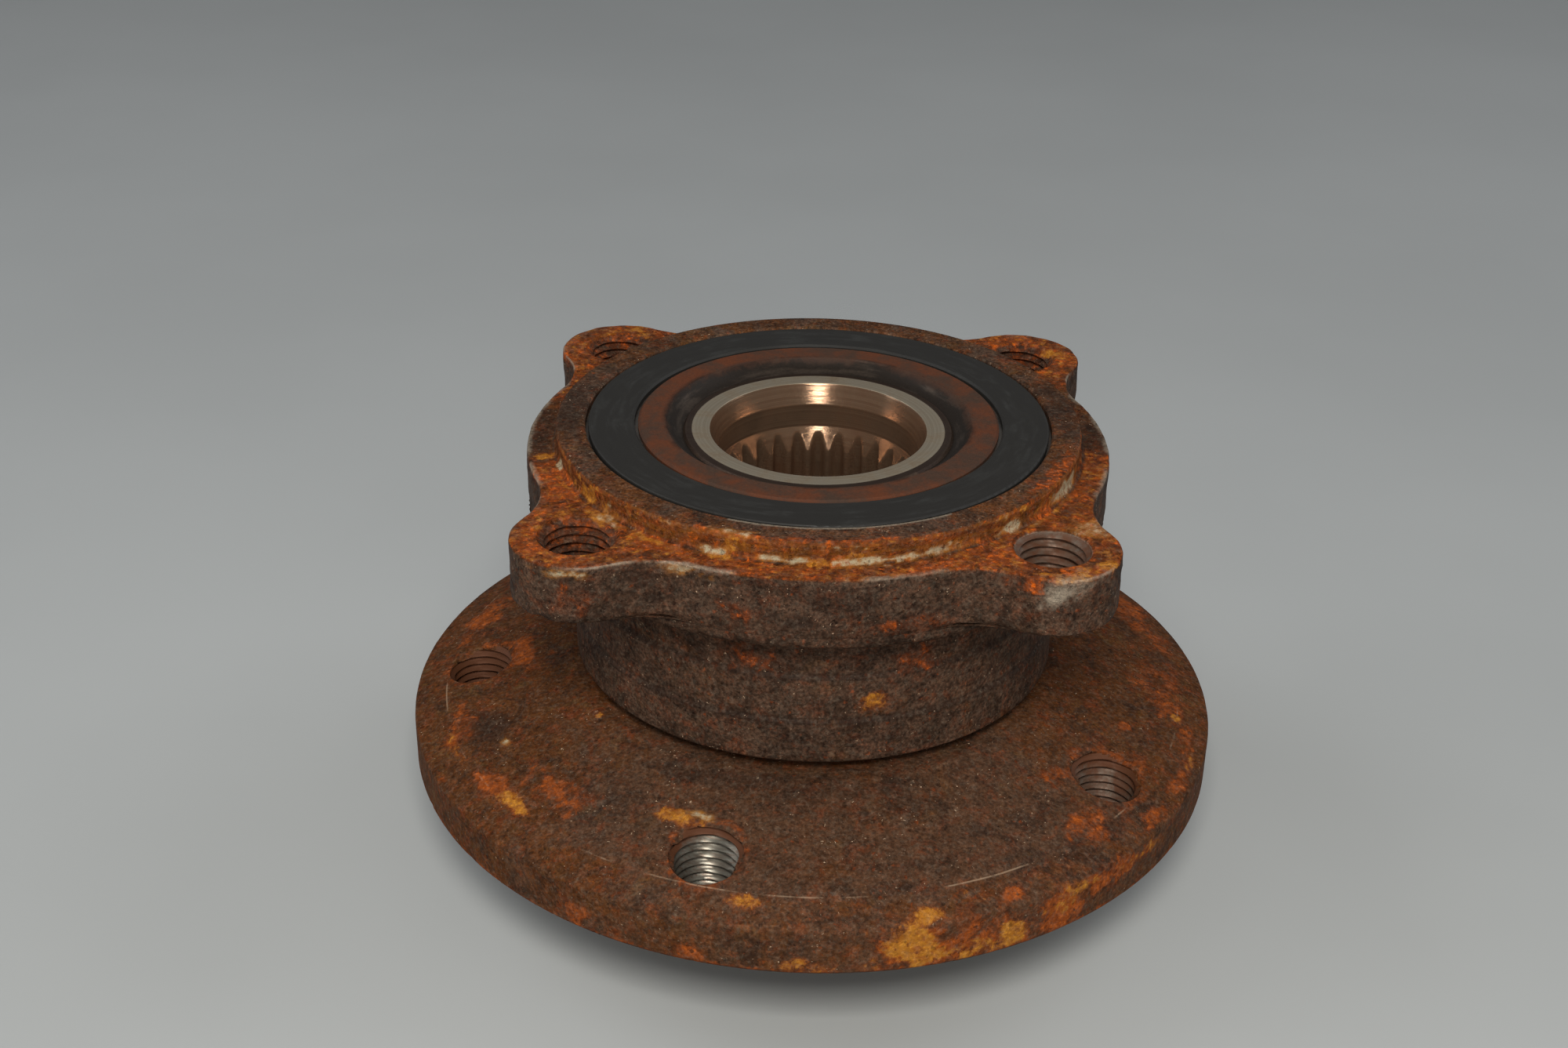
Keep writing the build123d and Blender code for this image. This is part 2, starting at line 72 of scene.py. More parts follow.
# A display colour with channels up to 255, a place across the axis, and a solid's vertices and faces.
Colour = tuple[float, float, float]
Spot = tuple[float, float]
Shell = tuple[np.ndarray, list[list[int]]]


class Body(Enum):
    """The CAD bodies that pieces ride on."""

    HUB = "hub_assembly"
    OUTER = "outer_ring_assembly"


class Slot(Enum):
    """The record's material slots that new pieces stand for."""

    HUB = "hub_forging"
    OUTER = "ring_forging"


class HubZone(IntEnum):
    """Material slots of the hub."""

    SKIN = 0
    NOSE = 1
    BORE = 2
    RACE = 3
    THREAD = 4
    ROLL = 5


class RingZone(IntEnum):
    """Material slots of the outer ring."""

    SKIN = 0
    RACE = 1
    THREAD = 2


class Mask(Enum):
    """What the meshes tell the finishes, as one number for each vertex."""

    ORANGE = "orange_rust"
    OCHRE = "ochre_rust"
    # Pale deposit, whose whitest parts are a painted highlight.
    PALE = "pale_deposit"
    # Bare metal from wear, and a painted highlight on the pilot's inner top edge.
    WEAR_AND_HIGHLIGHT = "bare_wear"
    # Dark dirt in places, and painted shade in others: in the forged dents, along the body's steps and under
    # the outer ring's front foot.
    DIRT_AND_SHADE = "dark_grime"
    WARM = "warm_tone"
    SMOOTH = "smooth_skin"


# ---- Small numeric helpers ----------------------------------------------------------------------
def linear(tone: Colour) -> tuple[float, float, float, float]:
    """The opaque linear colour that a shader takes for a display colour, whose channels reach 255."""
    shares = [channel / 255 for channel in tone]
    return *(s / 12.92 if s <= 0.04045 else ((s + 0.055) / 1.055) ** 2.4 for s in shares), 1.0


def smooth_step(value: np.ndarray, low: float, high: float) -> np.ndarray:
    """Rise smoothly from 0 where a value is low to 1 where it is high."""
    share = np.clip((value - low) / (high - low), 0.0, 1.0)
    return share * share * (3.0 - 2.0 * share)


def lattice_noise(points: np.ndarray, size: float, seed: int) -> np.ndarray:
    """Value noise over a cubic lattice.

    Args:
        points: Places, one row each, in mm.
        size: Edge of a lattice cell, in mm.
        seed: Which pattern to draw.

    Returns:
        One value from -1 to 1 for each place.
    """
    scaled = points / size + seed * 17.31
    base = np.floor(scaled).astype(np.int64)
    part = scaled - base
    part = part * part * (3.0 - 2.0 * part)
    total = np.zeros(len(points))
    for corner in range(8):
        offset = np.array([corner & 1, corner >> 1 & 1, corner >> 2 & 1])
        cell = (base + offset).astype(np.uint32)
        mixed = cell[:, 0] * np.uint32(73856093) ^ cell[:, 1] * np.uint32(19349663)
        mixed ^= cell[:, 2] * np.uint32(83492791) ^ np.uint32(seed * 2654435761 % 2**32)
        mixed ^= mixed >> np.uint32(13)
        mixed *= np.uint32(1274126177)
        mixed ^= mixed >> np.uint32(16)
        value = mixed.astype(np.float64) / 2**31 - 1.0
        total += value * np.prod(np.where(offset == 1, part, 1.0 - part), axis=1)
    return total


def rough_noise(points: np.ndarray, size: float, octaves: int, seed: int) -> np.ndarray:
    """Sum octaves of lattice noise, each half the size of the one before.

    Args:
        points: Places, one row each, in mm.
        size: Size of the broadest octave, in mm.
        octaves: How many octaves to add.
        seed: Which pattern to draw.

    Returns:
        One value for each place, mostly from -1 to 1.
    """
    total = np.zeros(len(points))
    for octave in range(octaves):
        total += lattice_noise(points, size / 2**octave, seed + octave) / 2**octave
    return total / 1.6


def blots(points: np.ndarray, size: float, octaves: int, seed: int, low: float, high: float) -> np.ndarray:
    """Soft patches, from 0 to 1, where rough noise rises from low to high."""
    return smooth_step(rough_noise(points, size, octaves, seed), low, high)


def polar(radius: float, azimuth: float) -> Spot:
    """Place in the plane at a radius and an azimuth in degrees."""
    return radius * math.cos(math.radians(azimuth)), radius * math.sin(math.radians(azimuth))


def hole_distance(places: np.ndarray, centres: list[Spot]) -> np.ndarray:
    """Distance of each place from the nearest hole's axis, in mm."""
    return np.min([np.hypot(places[:, 0] - x, places[:, 1] - y) for x, y in centres], axis=0)


def turn_from(places: np.ndarray, azimuth: float) -> np.ndarray:
    """Angle between each place and an azimuth, from 0 to 180 degrees."""
    turn = np.degrees(np.arctan2(places[:, 1], places[:, 0])) - azimuth
    return np.abs((turn + 180.0) % 360.0 - 180.0)


# ---- Sections and turned meshes -----------------------------------------------------------------
@dataclass(frozen=True)
class Corner:
    """A corner of a turned section.

    Attributes:
        radius: Distance from the axis.
        height: Height along the axis.
        step: Longest stretch between two mesh rows on the way to this corner.
        fillet: Radius that rounds the corner off.
        reach: How far the corner follows a lobed outline, from 0 for not at all to 1 for fully.
    """

    radius: float
    height: float
    step: float = COARSE
    fillet: float = 0.0
    reach: float = 0.0


def groove(centre: Spot, radius: float, start: float, end: float, count: int) -> list[Corner]:
    """Corners along a raceway's arc.

    Args:
        centre: Radius and height of the arc's centre.
        radius: Radius of the arc.
        start: Angle of its first corner from outwards, in degrees.
        end: Angle of its last corner, in degrees.
        count: How many corners to make.

    Returns:
        The corners in order.
    """
    turns = np.radians(np.linspace(start, end, count))
    return [Corner(centre[0] + radius * math.cos(t), centre[1] + radius * math.sin(t)) for t in turns]


def rounded(before: np.ndarray, corner: np.ndarray, after: np.ndarray, fillet: float) -> list[np.ndarray]:
    """Points of the arc that rounds a corner off.

    Args:
        before: The corner before, as radius, height, step and reach.
        corner: The corner itself.
        after: The corner after.
        fillet: Radius of the arc.

    Returns:
        Points from the arc's start to its end.
    """
    back = (before - corner)[:2]
    ahead = (after - corner)[:2]
    back /= np.linalg.norm(back)
    ahead /= np.linalg.norm(ahead)
    half = math.acos(float(np.clip(back @ ahead, -1.0, 1.0))) / 2
    leg = fillet / math.tan(half)
    middle = (back + ahead) / np.linalg.norm(back + ahead)
    centre = corner[:2] + middle * fillet / math.sin(half)
    start = corner[:2] + back * leg - centre
    end = corner[:2] + ahead * leg - centre
    sweep = math.pi - 2 * half
    steps = sweep * fillet / max(corner[2], ROUND_STEP)
    count = max(2, math.ceil(steps), math.ceil(math.degrees(sweep) / ROUND_TURN))
    made = []
    for share in np.linspace(0.0, 1.0, count + 1):
        spoke = start * math.sin((1 - share) * sweep) + end * math.sin(share * sweep)
        made.append(np.array([*(centre + spoke / math.sin(sweep)), corner[2], corner[3]]))
    return made


def section(corners: list[Corner]) -> np.ndarray:
    """Turn a closed loop of corners into mesh rows.

    Args:
        corners: The corners, counterclockwise with the radius to the right and the height up.

    Returns:
        One line for each mesh row, with its radius, height and reach.
    """
    keys = [np.array([c.radius, c.height, c.step, c.reach]) for c in corners]
    points: list[np.ndarray] = []
    for place, corner in enumerate(corners):
        before, after = keys[place - 1], keys[(place + 1) % len(keys)]
        if corner.fillet:
            points += rounded(before, keys[place], after, corner.fillet)
        else:
            points.append(keys[place])
    rows = []
    for here, ahead in zip(points, points[1:] + points[:1]):
        count = max(1, math.ceil(np.linalg.norm((ahead - here)[:2]) / ahead[2] - 1e-6))
        for share in np.arange(count) / count:
            rows.append(here + (ahead - here) * share)
    return np.array(rows)[:, [0, 1, 3]]


def swept(radius: np.ndarray, turns: np.ndarray, height: np.ndarray) -> np.ndarray:
    """Places by row, column and coordinate from radii, angles in radians and heights."""
    grids = np.broadcast_arrays(radius * np.cos(turns), radius * np.sin(turns), height)
    return np.stack(grids, axis=-1)


def tube(places: np.ndarray, capped: bool = False) -> Shell:
    """Join a grid of places, whose columns close on themselves, into a solid.

    Args:
        places: Places by row, column and coordinate.
        capped: Whether flat caps close the first and last row; otherwise the rows close on themselves.

    Returns:
        The vertices, and the faces by vertex number.
    """
    index = np.arange(places.shape[0] * places.shape[1]).reshape(places.shape[:2])
    low, high = (index[:-1], index[1:]) if capped else (index, np.roll(index, -1, axis=0))
    sides = np.stack([low, np.roll(low, -1, axis=1), np.roll(high, -1, axis=1), high], axis=-1)
    faces = sides.reshape(-1, 4).tolist()
    if capped:
        faces += [index[0][::-1].tolist(), index[-1].tolist()]
    return places.reshape(-1, 3), faces


def new_mesh(name: str, shells: list[Shell]) -> bpy.types.Object:
    """Make a mesh object from separate shells in mm.

    Args:
        name: Name of the object and its mesh.
        shells: Vertices and faces of each shell.

    Returns:
        The object, linked to the scene.
    """
    faces, base = [], 0
    for places, sides in shells:
        faces += [[base + corner for corner in side] for side in sides]
        base += len(places)
    mesh = bpy.data.meshes.new(name)
    mesh.from_pydata((np.concatenate([places for places, _ in shells]) * MM).tolist(), [], faces)
    mesh.update()
    made = bpy.data.objects.new(name, mesh)
    bpy.context.scene.collection.objects.link(made)
    return made


def read_vectors(items: bpy.types.bpy_prop_collection, key: str) -> np.ndarray:
    """Read a vector of each vertex, normal or face of a mesh.

    Args:
        items: The vertices, normals or faces.
        key: Name of the vector.

    Returns:
        One row for each item.
    """
    flat = np.empty(len(items) * 3, np.float32)
    items.foreach_get(key, flat)
    return flat.reshape(-1, 3).astype(float)


def shift(mesh: bpy.types.Mesh, places: np.ndarray) -> None:
    """Move a mesh's vertices to new places in mm."""
    mesh.vertices.foreach_set("co", (places * MM).astype(np.float32).ravel())
    mesh.update()


def cut(piece: bpy.types.Object, tools: bpy.types.Object) -> None:
    """Cut tools out of a piece, remove the tools and mark the hard edges.

    Args:
        piece: The solid to cut, which keeps its name.
        tools: One object with every cutter in it.
    """
    step = piece.modifiers.new("holes", "BOOLEAN")
    step.operation = "DIFFERENCE"
    step.solver = "MANIFOLD"
    step.object = tools
    depsgraph = bpy.context.evaluated_depsgraph_get()
    made = bpy.data.meshes.new_from_object(piece.evaluated_get(depsgraph))
    piece.modifiers.clear()
    plain = piece.data
    piece.data = made
    made.name = piece.name
    made.materials.clear()
    bpy.data.meshes.remove(plain)
    bpy.data.meshes.remove(tools.data)
    made.set_sharp_from_angle(angle=SHARP_ANGLE)


# ---- Screw threads ------------------------------------------------------------------------------
@dataclass(frozen=True)
class Tap:
    """A cutter that leaves a right-handed internal screw thread with a coned mouth.

    Attributes:
        root: Radius of the thread's root, which is the hole in the CAD.
        crest: Radius of the thread's crest.
        pitch: Rise of one turn.
        chamfer: Depth of the mouth's cone.
        columns: Faces round the hole.
        rows_per_turn: Mesh rows in one turn of the thread.
        crest_flat: Share of the pitch that lies flat at the crest.
        flanks: Share of the pitch that the two flanks take.
        overrun: How far the cutter stands out of both mouths.
        mouth_inset: How far inside the root the mouth's cone starts.
        mouth_slope: Growth of the cone's radius for each mm upwards.
    """

    root: float
    crest: float
    pitch: float
    chamfer: float
    columns: int = 40
    rows_per_turn: int = 7
    crest_flat: float = 0.12
    flanks: float = 0.7
    overrun: float = 3.0
    mouth_inset: float = 0.2
    mouth_slope: float = 1.2

    def shell(self, centre: Spot, low: float, high: float, tilt: float = 0.0) -> Shell:
        """Vertices and faces of the cutter.

        Args:
            centre: Place of the hole's axis.
            low: Height of the hole's low mouth.
            high: Height of its high mouth.
            tilt: Fall of the surface round the high mouth for each mm away from the unit's axis.

        Returns:
            The vertices, and the faces by vertex number.
        """
        count = round((high - low + 2 * self.overrun) / self.pitch * self.rows_per_turn)
        heights = np.linspace(low - self.overrun, high + self.overrun, count)[:, None]
        turns = np.linspace(0.0, 2 * math.pi, self.columns, endpoint=False)[None, :]
        phase = (heights / self.pitch - turns / (2 * math.pi)) % 1.0
        flank = np.clip((np.abs(2 * phase - 1) - self.crest_flat) / self.flanks, 0.0, 1.0)
        radius = self.crest + (self.root - self.crest) * flank
        rim_x = centre[0] + self.root * np.cos(turns)
        rim_y = centre[1] + self.root * np.sin(turns)
        local = high - tilt * (np.hypot(rim_x, rim_y) - math.hypot(*centre))
        mouth = np.clip(heights - (local - self.chamfer), 0.0, self.chamfer)
        coned = self.root - self.mouth_inset + mouth * self.mouth_slope
        radius = np.maximum(radius, np.where(mouth > 0, coned, 0.0))
        return tube(swept(radius, turns, heights) + np.array([*centre, 0.0]), capped=True)


# ---- Stains, worn metal and painted light -------------------------------------------------------
# Seed of the first patch's border, and the step to the next one's.
FIRST_SEED = 40
SEED_STEP = 3
# Where a patch starts to fade, has faded out and can't reach any more, in its half lengths.
FADE_START = 0.35
FADE_END = 1.4
FARTHEST = 2.2
# Smallest size of a border's noise, in mm, and its share of the patch's shorter half.
FINEST_BORDER = 1.5
BORDER_SHARE = 0.9


@dataclass(frozen=True)
class Stain:
    """A ragged patch on a surface.

    Attributes:
        mask: What the patch shows.
        azimuth: Angle of its middle round the axis, in degrees.
        radius: Distance of its middle from the axis.
        height: Height of its middle.
        along: Half its length round the axis.
        across: Half its width away from the axis.
        rise: Half its extent in height.
        strength: How strong its middle is.
        ragged: How far noise breaks its border up.
    """

    mask: Mask
    azimuth: float
    radius: float
    height: float
    along: float
    across: float
    rise: float = 3.0
    strength: float = 1.0
    ragged: float = 0.55

    def cover(self, places: np.ndarray, number: int) -> np.ndarray:
        """How much of the patch each place shows.

        Args:
            places: Places in mm, one row each.
            number: The patch's number, which picks the noise of its border.

        Returns:
            One share for each place.
        """
        reach = np.hypot(places[:, 0], places[:, 1])
        arc = np.radians(turn_from(places, self.azimuth)) * self.radius / self.along
        out, up = (reach - self.radius) / self.across, (places[:, 2] - self.height) / self.rise
        off = np.sqrt(arc**2 + out**2 + up**2)
        size = max(FINEST_BORDER, min(self.along, self.across) * BORDER_SHARE)
        near = off < FARTHEST
        cover = np.zeros(len(places))
        if near.any():
            border = rough_noise(places[near], size, 3, FIRST_SEED + number * SEED_STEP)
            broken = off[near] + self.ragged * border
            cover[near] = self.strength * smooth_step(-broken, -FADE_END, -FADE_START)
        return cover


@dataclass
class Weather:
    """The masks of one mesh while they are being filled in.

    Attributes:
        places: The mesh's vertices in mm.
        values: One array for each mask.
    """

    places: np.ndarray
    values: dict[Mask, np.ndarray] = field(init=False)

    def __post_init__(self) -> None:
        """Start every mask at nothing."""
        self.values = {mask: np.zeros(len(self.places)) for mask in Mask}

    def lift(self, mask: Mask, amount: np.ndarray) -> None:
        """Raise a mask to an amount wherever it is lower."""
        self.values[mask] = np.maximum(self.values[mask], amount)

    def stain(self, stains: list[Stain]) -> None:
        """Lay patches on."""
        for number, patch in enumerate(stains):
            self.lift(patch.mask, patch.cover(self.places, number))

    def store(self, mesh: bpy.types.Mesh) -> None:
        """Write every mask to the mesh that the places came from.

        Args:
            mesh: The mesh.
        """
        for mask, values in self.values.items():
            layer = mesh.attributes.new(mask.value, "FLOAT", "POINT")
            layer.data.foreach_set("value", np.clip(values, 0.0, 1.0).astype(np.float32))


# ---- Node trees ---------------------------------------------------------------------------------
@dataclass(frozen=True)
class Wire:
    """A value on its way through a node tree; arithmetic on it adds Math nodes.

    Attributes:
        sheet: The tree that it runs in.
        socket: The output that it comes from.
    """

    sheet: "Sheet"
    socket: bpy.types.NodeSocket

    def __add__(self, other: "Value") -> "Wire":
        """This and another added up."""
        return self.sheet.combine("ADD", self, other)

    def __sub__(self, other: "Value") -> "Wire":
        """This less another."""
        return self.sheet.combine("SUBTRACT", self, other)

    def __rsub__(self, other: "Value") -> "Wire":
        """Another less this."""
        return self.sheet.combine("SUBTRACT", other, self)

    def __mul__(self, other: "Value") -> "Wire":
        """This times another."""
        return self.sheet.combine("MULTIPLY", self, other)

    def __rtruediv__(self, other: "Value") -> "Wire":
        """Another divided by this."""
        return self.sheet.combine("DIVIDE", other, self)

    def step(self, low: "Value", high: "Value") -> "Wire":
        """A smooth rise from 0 where this is low to 1 where it is high."""
        inputs = {"Value": self, "From Min": low, "From Max": high}
        return self.sheet.add("MapRange", inputs, interpolation_type="SMOOTHSTEP")[0]

    def blend(self, first: "Value", second: "Value") -> "Wire":
        """The number that is first where this is 0 and second where it is 1."""
        return self.sheet.add("Mix", {0: self, 2: first, 3: second}, data_type="FLOAT")[0]

    def tint(self, first: "Value", second: "Value") -> "Wire":
        """The colour that is first where this is 0 and second where it is 1."""
        return self.sheet.add("Mix", {0: self, 6: first, 7: second}, data_type="RGBA")[2]


Value = Wire | float | Colour


@dataclass(frozen=True)
class Outputs:
    """What a node gives.

    Attributes:
        sheet: The tree that it stands in.
        node: The node.
    """

    sheet: "Sheet"
    node: bpy.types.Node

    def __getitem__(self, key: str | int) -> Wire:
        """The wire of the output with a name or number."""
        return Wire(self.sheet, self.node.outputs[key])


@dataclass(frozen=True)
class Sheet:
    """A node tree that is being filled in.

    Attributes:
        tree: The node tree.
        end: The node that takes its results.
    """

    tree: bpy.types.NodeTree
    end: bpy.types.Node

    def feed(self, socket: bpy.types.NodeSocket, value: Value) -> None:
        """Link a socket to a wire, or set its value.

        Args:
            socket: The socket to feed.
            value: A wire, a number or a display colour.
        """
        if isinstance(value, Wire):
            self.tree.links.new(value.socket, socket)
        elif isinstance(value, tuple):
            socket.default_value = linear(value)[: len(socket.default_value)]
        else:
            socket.default_value = value

    def give(self, **values: Value) -> None:
        """Feed inputs of the end node, by name with spaces written as underscores."""
        for name, value in values.items():
            self.feed(self.end.inputs[name.replace("_", " ")], value)

    def add(self, kind: str, inputs: dict[str | int, Value], **settings: object) -> Outputs:
        """Add a node.

        Args:
            kind: The node's class name, without the ShaderNode at its start.
            inputs: What its inputs take, by name or number.
            **settings: Properties of the node.

        Returns:
            What the node gives.
        """
        node = self.tree.nodes.new("ShaderNode" + kind)
        for name, value in settings.items():
            setattr(node, name, value)
        for key, value in inputs.items():
            self.feed(node.inputs[key], value)
        return Outputs(self, node)

    def group(self, tree: bpy.types.NodeTree, **values: Value) -> Outputs:
        """Place a node group, with its inputs by name and spaces written as underscores."""
        inputs = {name.replace("_", " "): value for name, value in values.items()}
        return self.add("Group", inputs, node_tree=tree)

    def combine(self, operation: str, *values: Value, clamp: bool = False) -> Wire:
        """A Math node's result, kept from 0 to 1 if clamped."""
        return self.add("Math", dict(enumerate(values)), operation=operation, use_clamp=clamp)[0]

    def noise(self, vector: Value, scale: Value, detail: float, roughness: float, warp: float = 0) -> Wire:
        """Fractal noise around a half; detail counts octaves and roughness strengthens the fine ones."""
        inputs = {"Vector": vector, "Scale": scale, "Detail": detail, "Roughness": roughness}
        return self.add("TexNoise", {**inputs, "Distortion": warp})["Fac"]

    def times(self, colour: Value, factor: Value) -> Wire:
        """A colour made darker or brighter by a factor."""
        return self.add("VectorMath", {0: colour, "Scale": factor}, operation="SCALE")[0]

    def stretched(self, vector: Wire, factor: tuple[float, float, float]) -> Wire:
        """Stretch a vector by one factor for each axis.

        Args:
            vector: The vector.
            factor: The factors.

        Returns:
            The stretched vector.
        """
        made = self.add("VectorMath", {0: vector}, operation="MULTIPLY")
        made.node.inputs[1].default_value = factor
        return made[0]

    def drawn(self, mask: Mask) -> Wire:
        """The value that the mesh holds for a mask."""
        return self.add("Attribute", {}, attribute_name=mask.value)["Fac"]

    def bump(self, height: Wire, depth: float) -> None:
        """Let a height shade the surface, with a height of 1 standing for a depth in mm."""
        self.give(Normal=self.add("Bump", {"Strength": 1.0, "Distance": depth * MM, "Height": height})[0])


class Kind(Enum):
    """Socket types of the node groups."""

    NUMBER = "NodeSocketFloat"
    COLOUR = "NodeSocketColor"
    VECTOR = "NodeSocketVector"


def new_group(name: str, inputs: dict[Kind, str], outputs: dict[Kind, str]) -> tuple[Sheet, Outputs]:
    """Start a node group with named sockets.

    Args:
        name: Name of the group.
        inputs: Names of its inputs by type, parted by spaces, with spaces of their own as underscores.
        outputs: Names of its outputs in the same way.

    Returns:
        The sheet to fill and what the group's inputs give.
    """
    tree = bpy.data.node_groups.new(name, "ShaderNodeTree")
    for way, sockets in (("INPUT", inputs), ("OUTPUT", outputs)):
        for kind, labels in sockets.items():
            for label in labels.split():
                tree.interface.new_socket(name=label.replace("_", " "), in_out=way, socket_type=kind.value)
    given = tree.nodes.new("NodeGroupInput")
    sheet = Sheet(tree, tree.nodes.new("NodeGroupOutput"))
    return sheet, Outputs(sheet, given)


class SharedEffects:
    """The node groups that more than one finish uses, each built once."""

    def __init__(self) -> None:
        """Build the groups."""
        self.place = self._place()
        self.ragged = self._ragged()
        self.specks = self._specks()
        self.grain = self._grain()
        self.rings = self._rings()
        self.skin = self._skin()
        self.scale = self._scale()

    def _place(self) -> bpy.types.NodeTree:
        """Where a point lies on the piece in mm, and the same unrolled for marks that run round the axis."""
        sheet, _ = new_group("place_in_mm", {}, {Kind.VECTOR: "Place Round", Kind.NUMBER: "Radius Height"})
        place = sheet.stretched(sheet.add("TexCoord", {})["Object"], (1 / MM, 1 / MM, 1 / MM))
        flat = sheet.stretched(place, (1.0, 1.0, 0.0))
        radius = sheet.add("VectorMath", {0: flat}, operation="LENGTH")["Value"]
        height = sheet.add("SeparateXYZ", {0: place})["Z"]
        unit = sheet.add("VectorMath", {0: flat}, operation="NORMALIZE")[0]
        around = sheet.add("SeparateXYZ", {0: unit})
        rolled = sheet.add("CombineXYZ", {0: around["X"] * 6.0, 1: around["Y"] * 6.0, 2: radius + height})[0]
        sheet.give(Place=place, Round=rolled, Radius=radius, Height=height)
        return sheet.tree

    def _ragged(self) -> bpy.types.NodeTree:
        """A ragged border for a soft mask: noise decides where the mask holds."""
        inputs = {Kind.VECTOR: "Place", Kind.NUMBER: "Mask Size Spread Softness"}
        sheet, given = new_group("ragged_mask", inputs, {Kind.NUMBER: "Mask"})
        noise = sheet.noise(given["Place"], 1.0 / given["Size"], 7.0, 0.7, 0.5)
        swung = given["Mask"] + (noise - 0.5) * given["Spread"]
        sheet.give(Mask=swung.step(0.5 - given["Softness"], given["Softness"] + 0.5))
        return sheet.tree

    def _specks(self) -> bpy.types.NodeTree:
        """Scattered round specks of uneven size."""
        inputs = {Kind.VECTOR: "Place", Kind.NUMBER: "Size Cover"}
        sheet, given = new_group("scattered_specks", inputs, {Kind.NUMBER: "Mask"})
        warp = sheet.add("TexNoise", {"Vector": given["Place"], "Scale": 2.3})["Color"]
        moved = sheet.add("VectorMath", {0: given["Place"], 1: warp}, operation="ADD")[0]
        cells = sheet.add("TexVoronoi", {"Vector": moved, "Scale": 0.5 / given["Size"]})
        draw = sheet.add("SeparateColor", {0: cells["Color"]})
        kept = sheet.combine("LESS_THAN", draw[0], given["Cover"])
        limit = draw[1] * 0.34 + 0.12
        sheet.give(Mask=kept * cells["Distance"].step(limit, limit * 0.45))
        return sheet.tree

    def _grain(self) -> bpy.types.NodeTree:
        """Rough iron: soft lumps, a fine grain and small pits, as one height and two masks."""
        inputs = {Kind.VECTOR: "Place", Kind.NUMBER: "Lump_Size Pit_Size Pit_Depth"}
        sheet, given = new_group("iron_grain", inputs, {Kind.NUMBER: "Height Fine Pits"})
        lumps = sheet.noise(given["Place"], 1.0 / given["Lump Size"], 5.0, 0.62)
        fine = sheet.noise(given["Place"], 1.9, 5.0, 0.66)
        pits = sheet.group(self.specks, Place=given["Place"], Size=given["Pit Size"], Cover=0.45)["Mask"]
        sheet.give(Height=fine * 0.5 + lumps - pits * given["Pit Depth"], Fine=fine, Pits=pits)
        return sheet.tree

    def _rings(self) -> bpy.types.NodeTree:
        """Fine rings that a lathe leaves, which run round the axis."""
        sheet, given = new_group("lathe_rings", {Kind.NUMBER: "Radius Height Rings"}, {Kind.NUMBER: "Rings"})
        line = sheet.add("CombineXYZ", {0: given["Radius"], 1: given["Height"]})[0]
        sheet.give(Rings=sheet.noise(line, given["Rings"], 5.0, 0.75))
        return sheet.tree

    def _skin(self) -> bpy.types.NodeTree:
        """Old brown rust: cool and warm browns in clouds, dark films, smears round the axis, red specks."""
        inputs = {Kind.VECTOR: "Place Round", Kind.NUMBER: "Warmth", Kind.COLOUR: "Cool Warm Olive Dark Red"}
        sheet, given = new_group("brown_skin", inputs, {Kind.COLOUR: "Color", Kind.NUMBER: "Rust"})
        place, warmth = given["Place"], given["Warmth"]
        warm = (sheet.noise(place, 1 / 11, 8.0, 0.7, 0.9) + (warmth - 0.5) * 0.5).step(0.38, 0.62)
        colour = warm.tint(given["Cool"], given["Warm"])
        moss = sheet.noise(place, 1 / 5, 7.0, 0.7, 0.7).step(0.54, 0.66)
        colour = (moss * (warmth * 0.7)).tint(colour, given["Olive"])
        film = sheet.noise(place, 1 / 7, 8.0, 0.7, 1.2).step(0.49, 0.64)
        colour = (film * 0.62).tint(colour, given["Dark"])
        smears = sheet.noise(given["Round"], 0.55, 7.0, 0.7, 0.3).step(0.52, 0.66)
        colour = (smears * 0.42).tint(colour, given["Dark"])
        bloom = sheet.noise(place, 1 / 3.2, 8.0, 0.76, 0.5).step(0.51, 0.64) * (warmth * 0.75 + 0.2)
        colour = bloom.tint(colour, given["Red"])
        dots = sheet.group(self.specks, Place=place, Size=0.5, Cover=0.13)["Mask"]
        rust = sheet.combine("MAXIMUM", bloom, warm * 0.5)
        sheet.give(Color=(dots * 0.75).tint(colour, given["Red"]), Rust=rust)
        return sheet.tree

    def _scale(self) -> bpy.types.NodeTree:
        """A crust of fresh rust over a skin: a red rim, a fresh body and dark pocks where it has let go."""
        tones = "Under Rim Body Spots Pocks"
        inputs = {Kind.VECTOR: "Place", Kind.COLOUR: tones, Kind.NUMBER: "Mask Size Spread"}
        sheet, given = new_group("rust_scale", inputs, {Kind.COLOUR: "Color", Kind.NUMBER: "Mask"})
        place = given["Place"]
        border = {"Place": place, "Size": given["Size"], "Spread": given["Spread"]}
        outer = sheet.group(self.ragged, Mask=given["Mask"] + 0.08, Softness=0.3, **border)["Mask"]
        inner = sheet.group(self.ragged, Mask=given["Mask"] - 0.1, Softness=0.22, **border)["Mask"]
        thick = sheet.noise(place, 1 / 1.7, 7.0, 0.74, 0.6).step(0.36, 0.56)
        spots = sheet.noise(place, 0.9, 7.0, 0.74).step(0.48, 0.62)
        colour = (outer * 0.6).tint(given["Under"], given["Rim"])
        colour = (inner * thick.blend(0.28, 0.95)).tint(colour, spots.tint(given["Body"], given["Spots"]))
        pocks = sheet.group(self.specks, Place=place, Size=0.8, Cover=0.34)["Mask"] * outer
        sheet.give(Color=(pocks * 0.7).tint(colour, given["Pocks"]), Mask=outer - pocks * 0.6)
        return sheet.tree

    def torn(self, sheet: Sheet, place: Wire, mask: Mask, size: float, spread: float, soft: float) -> Wire:
        """A mask of the mesh whose border is torn by noise of a size and a spread, and softened."""
        border = {"Size": size, "Spread": spread, "Softness": soft}
        return sheet.group(self.ragged, Place=place, Mask=sheet.drawn(mask), **border)["Mask"]


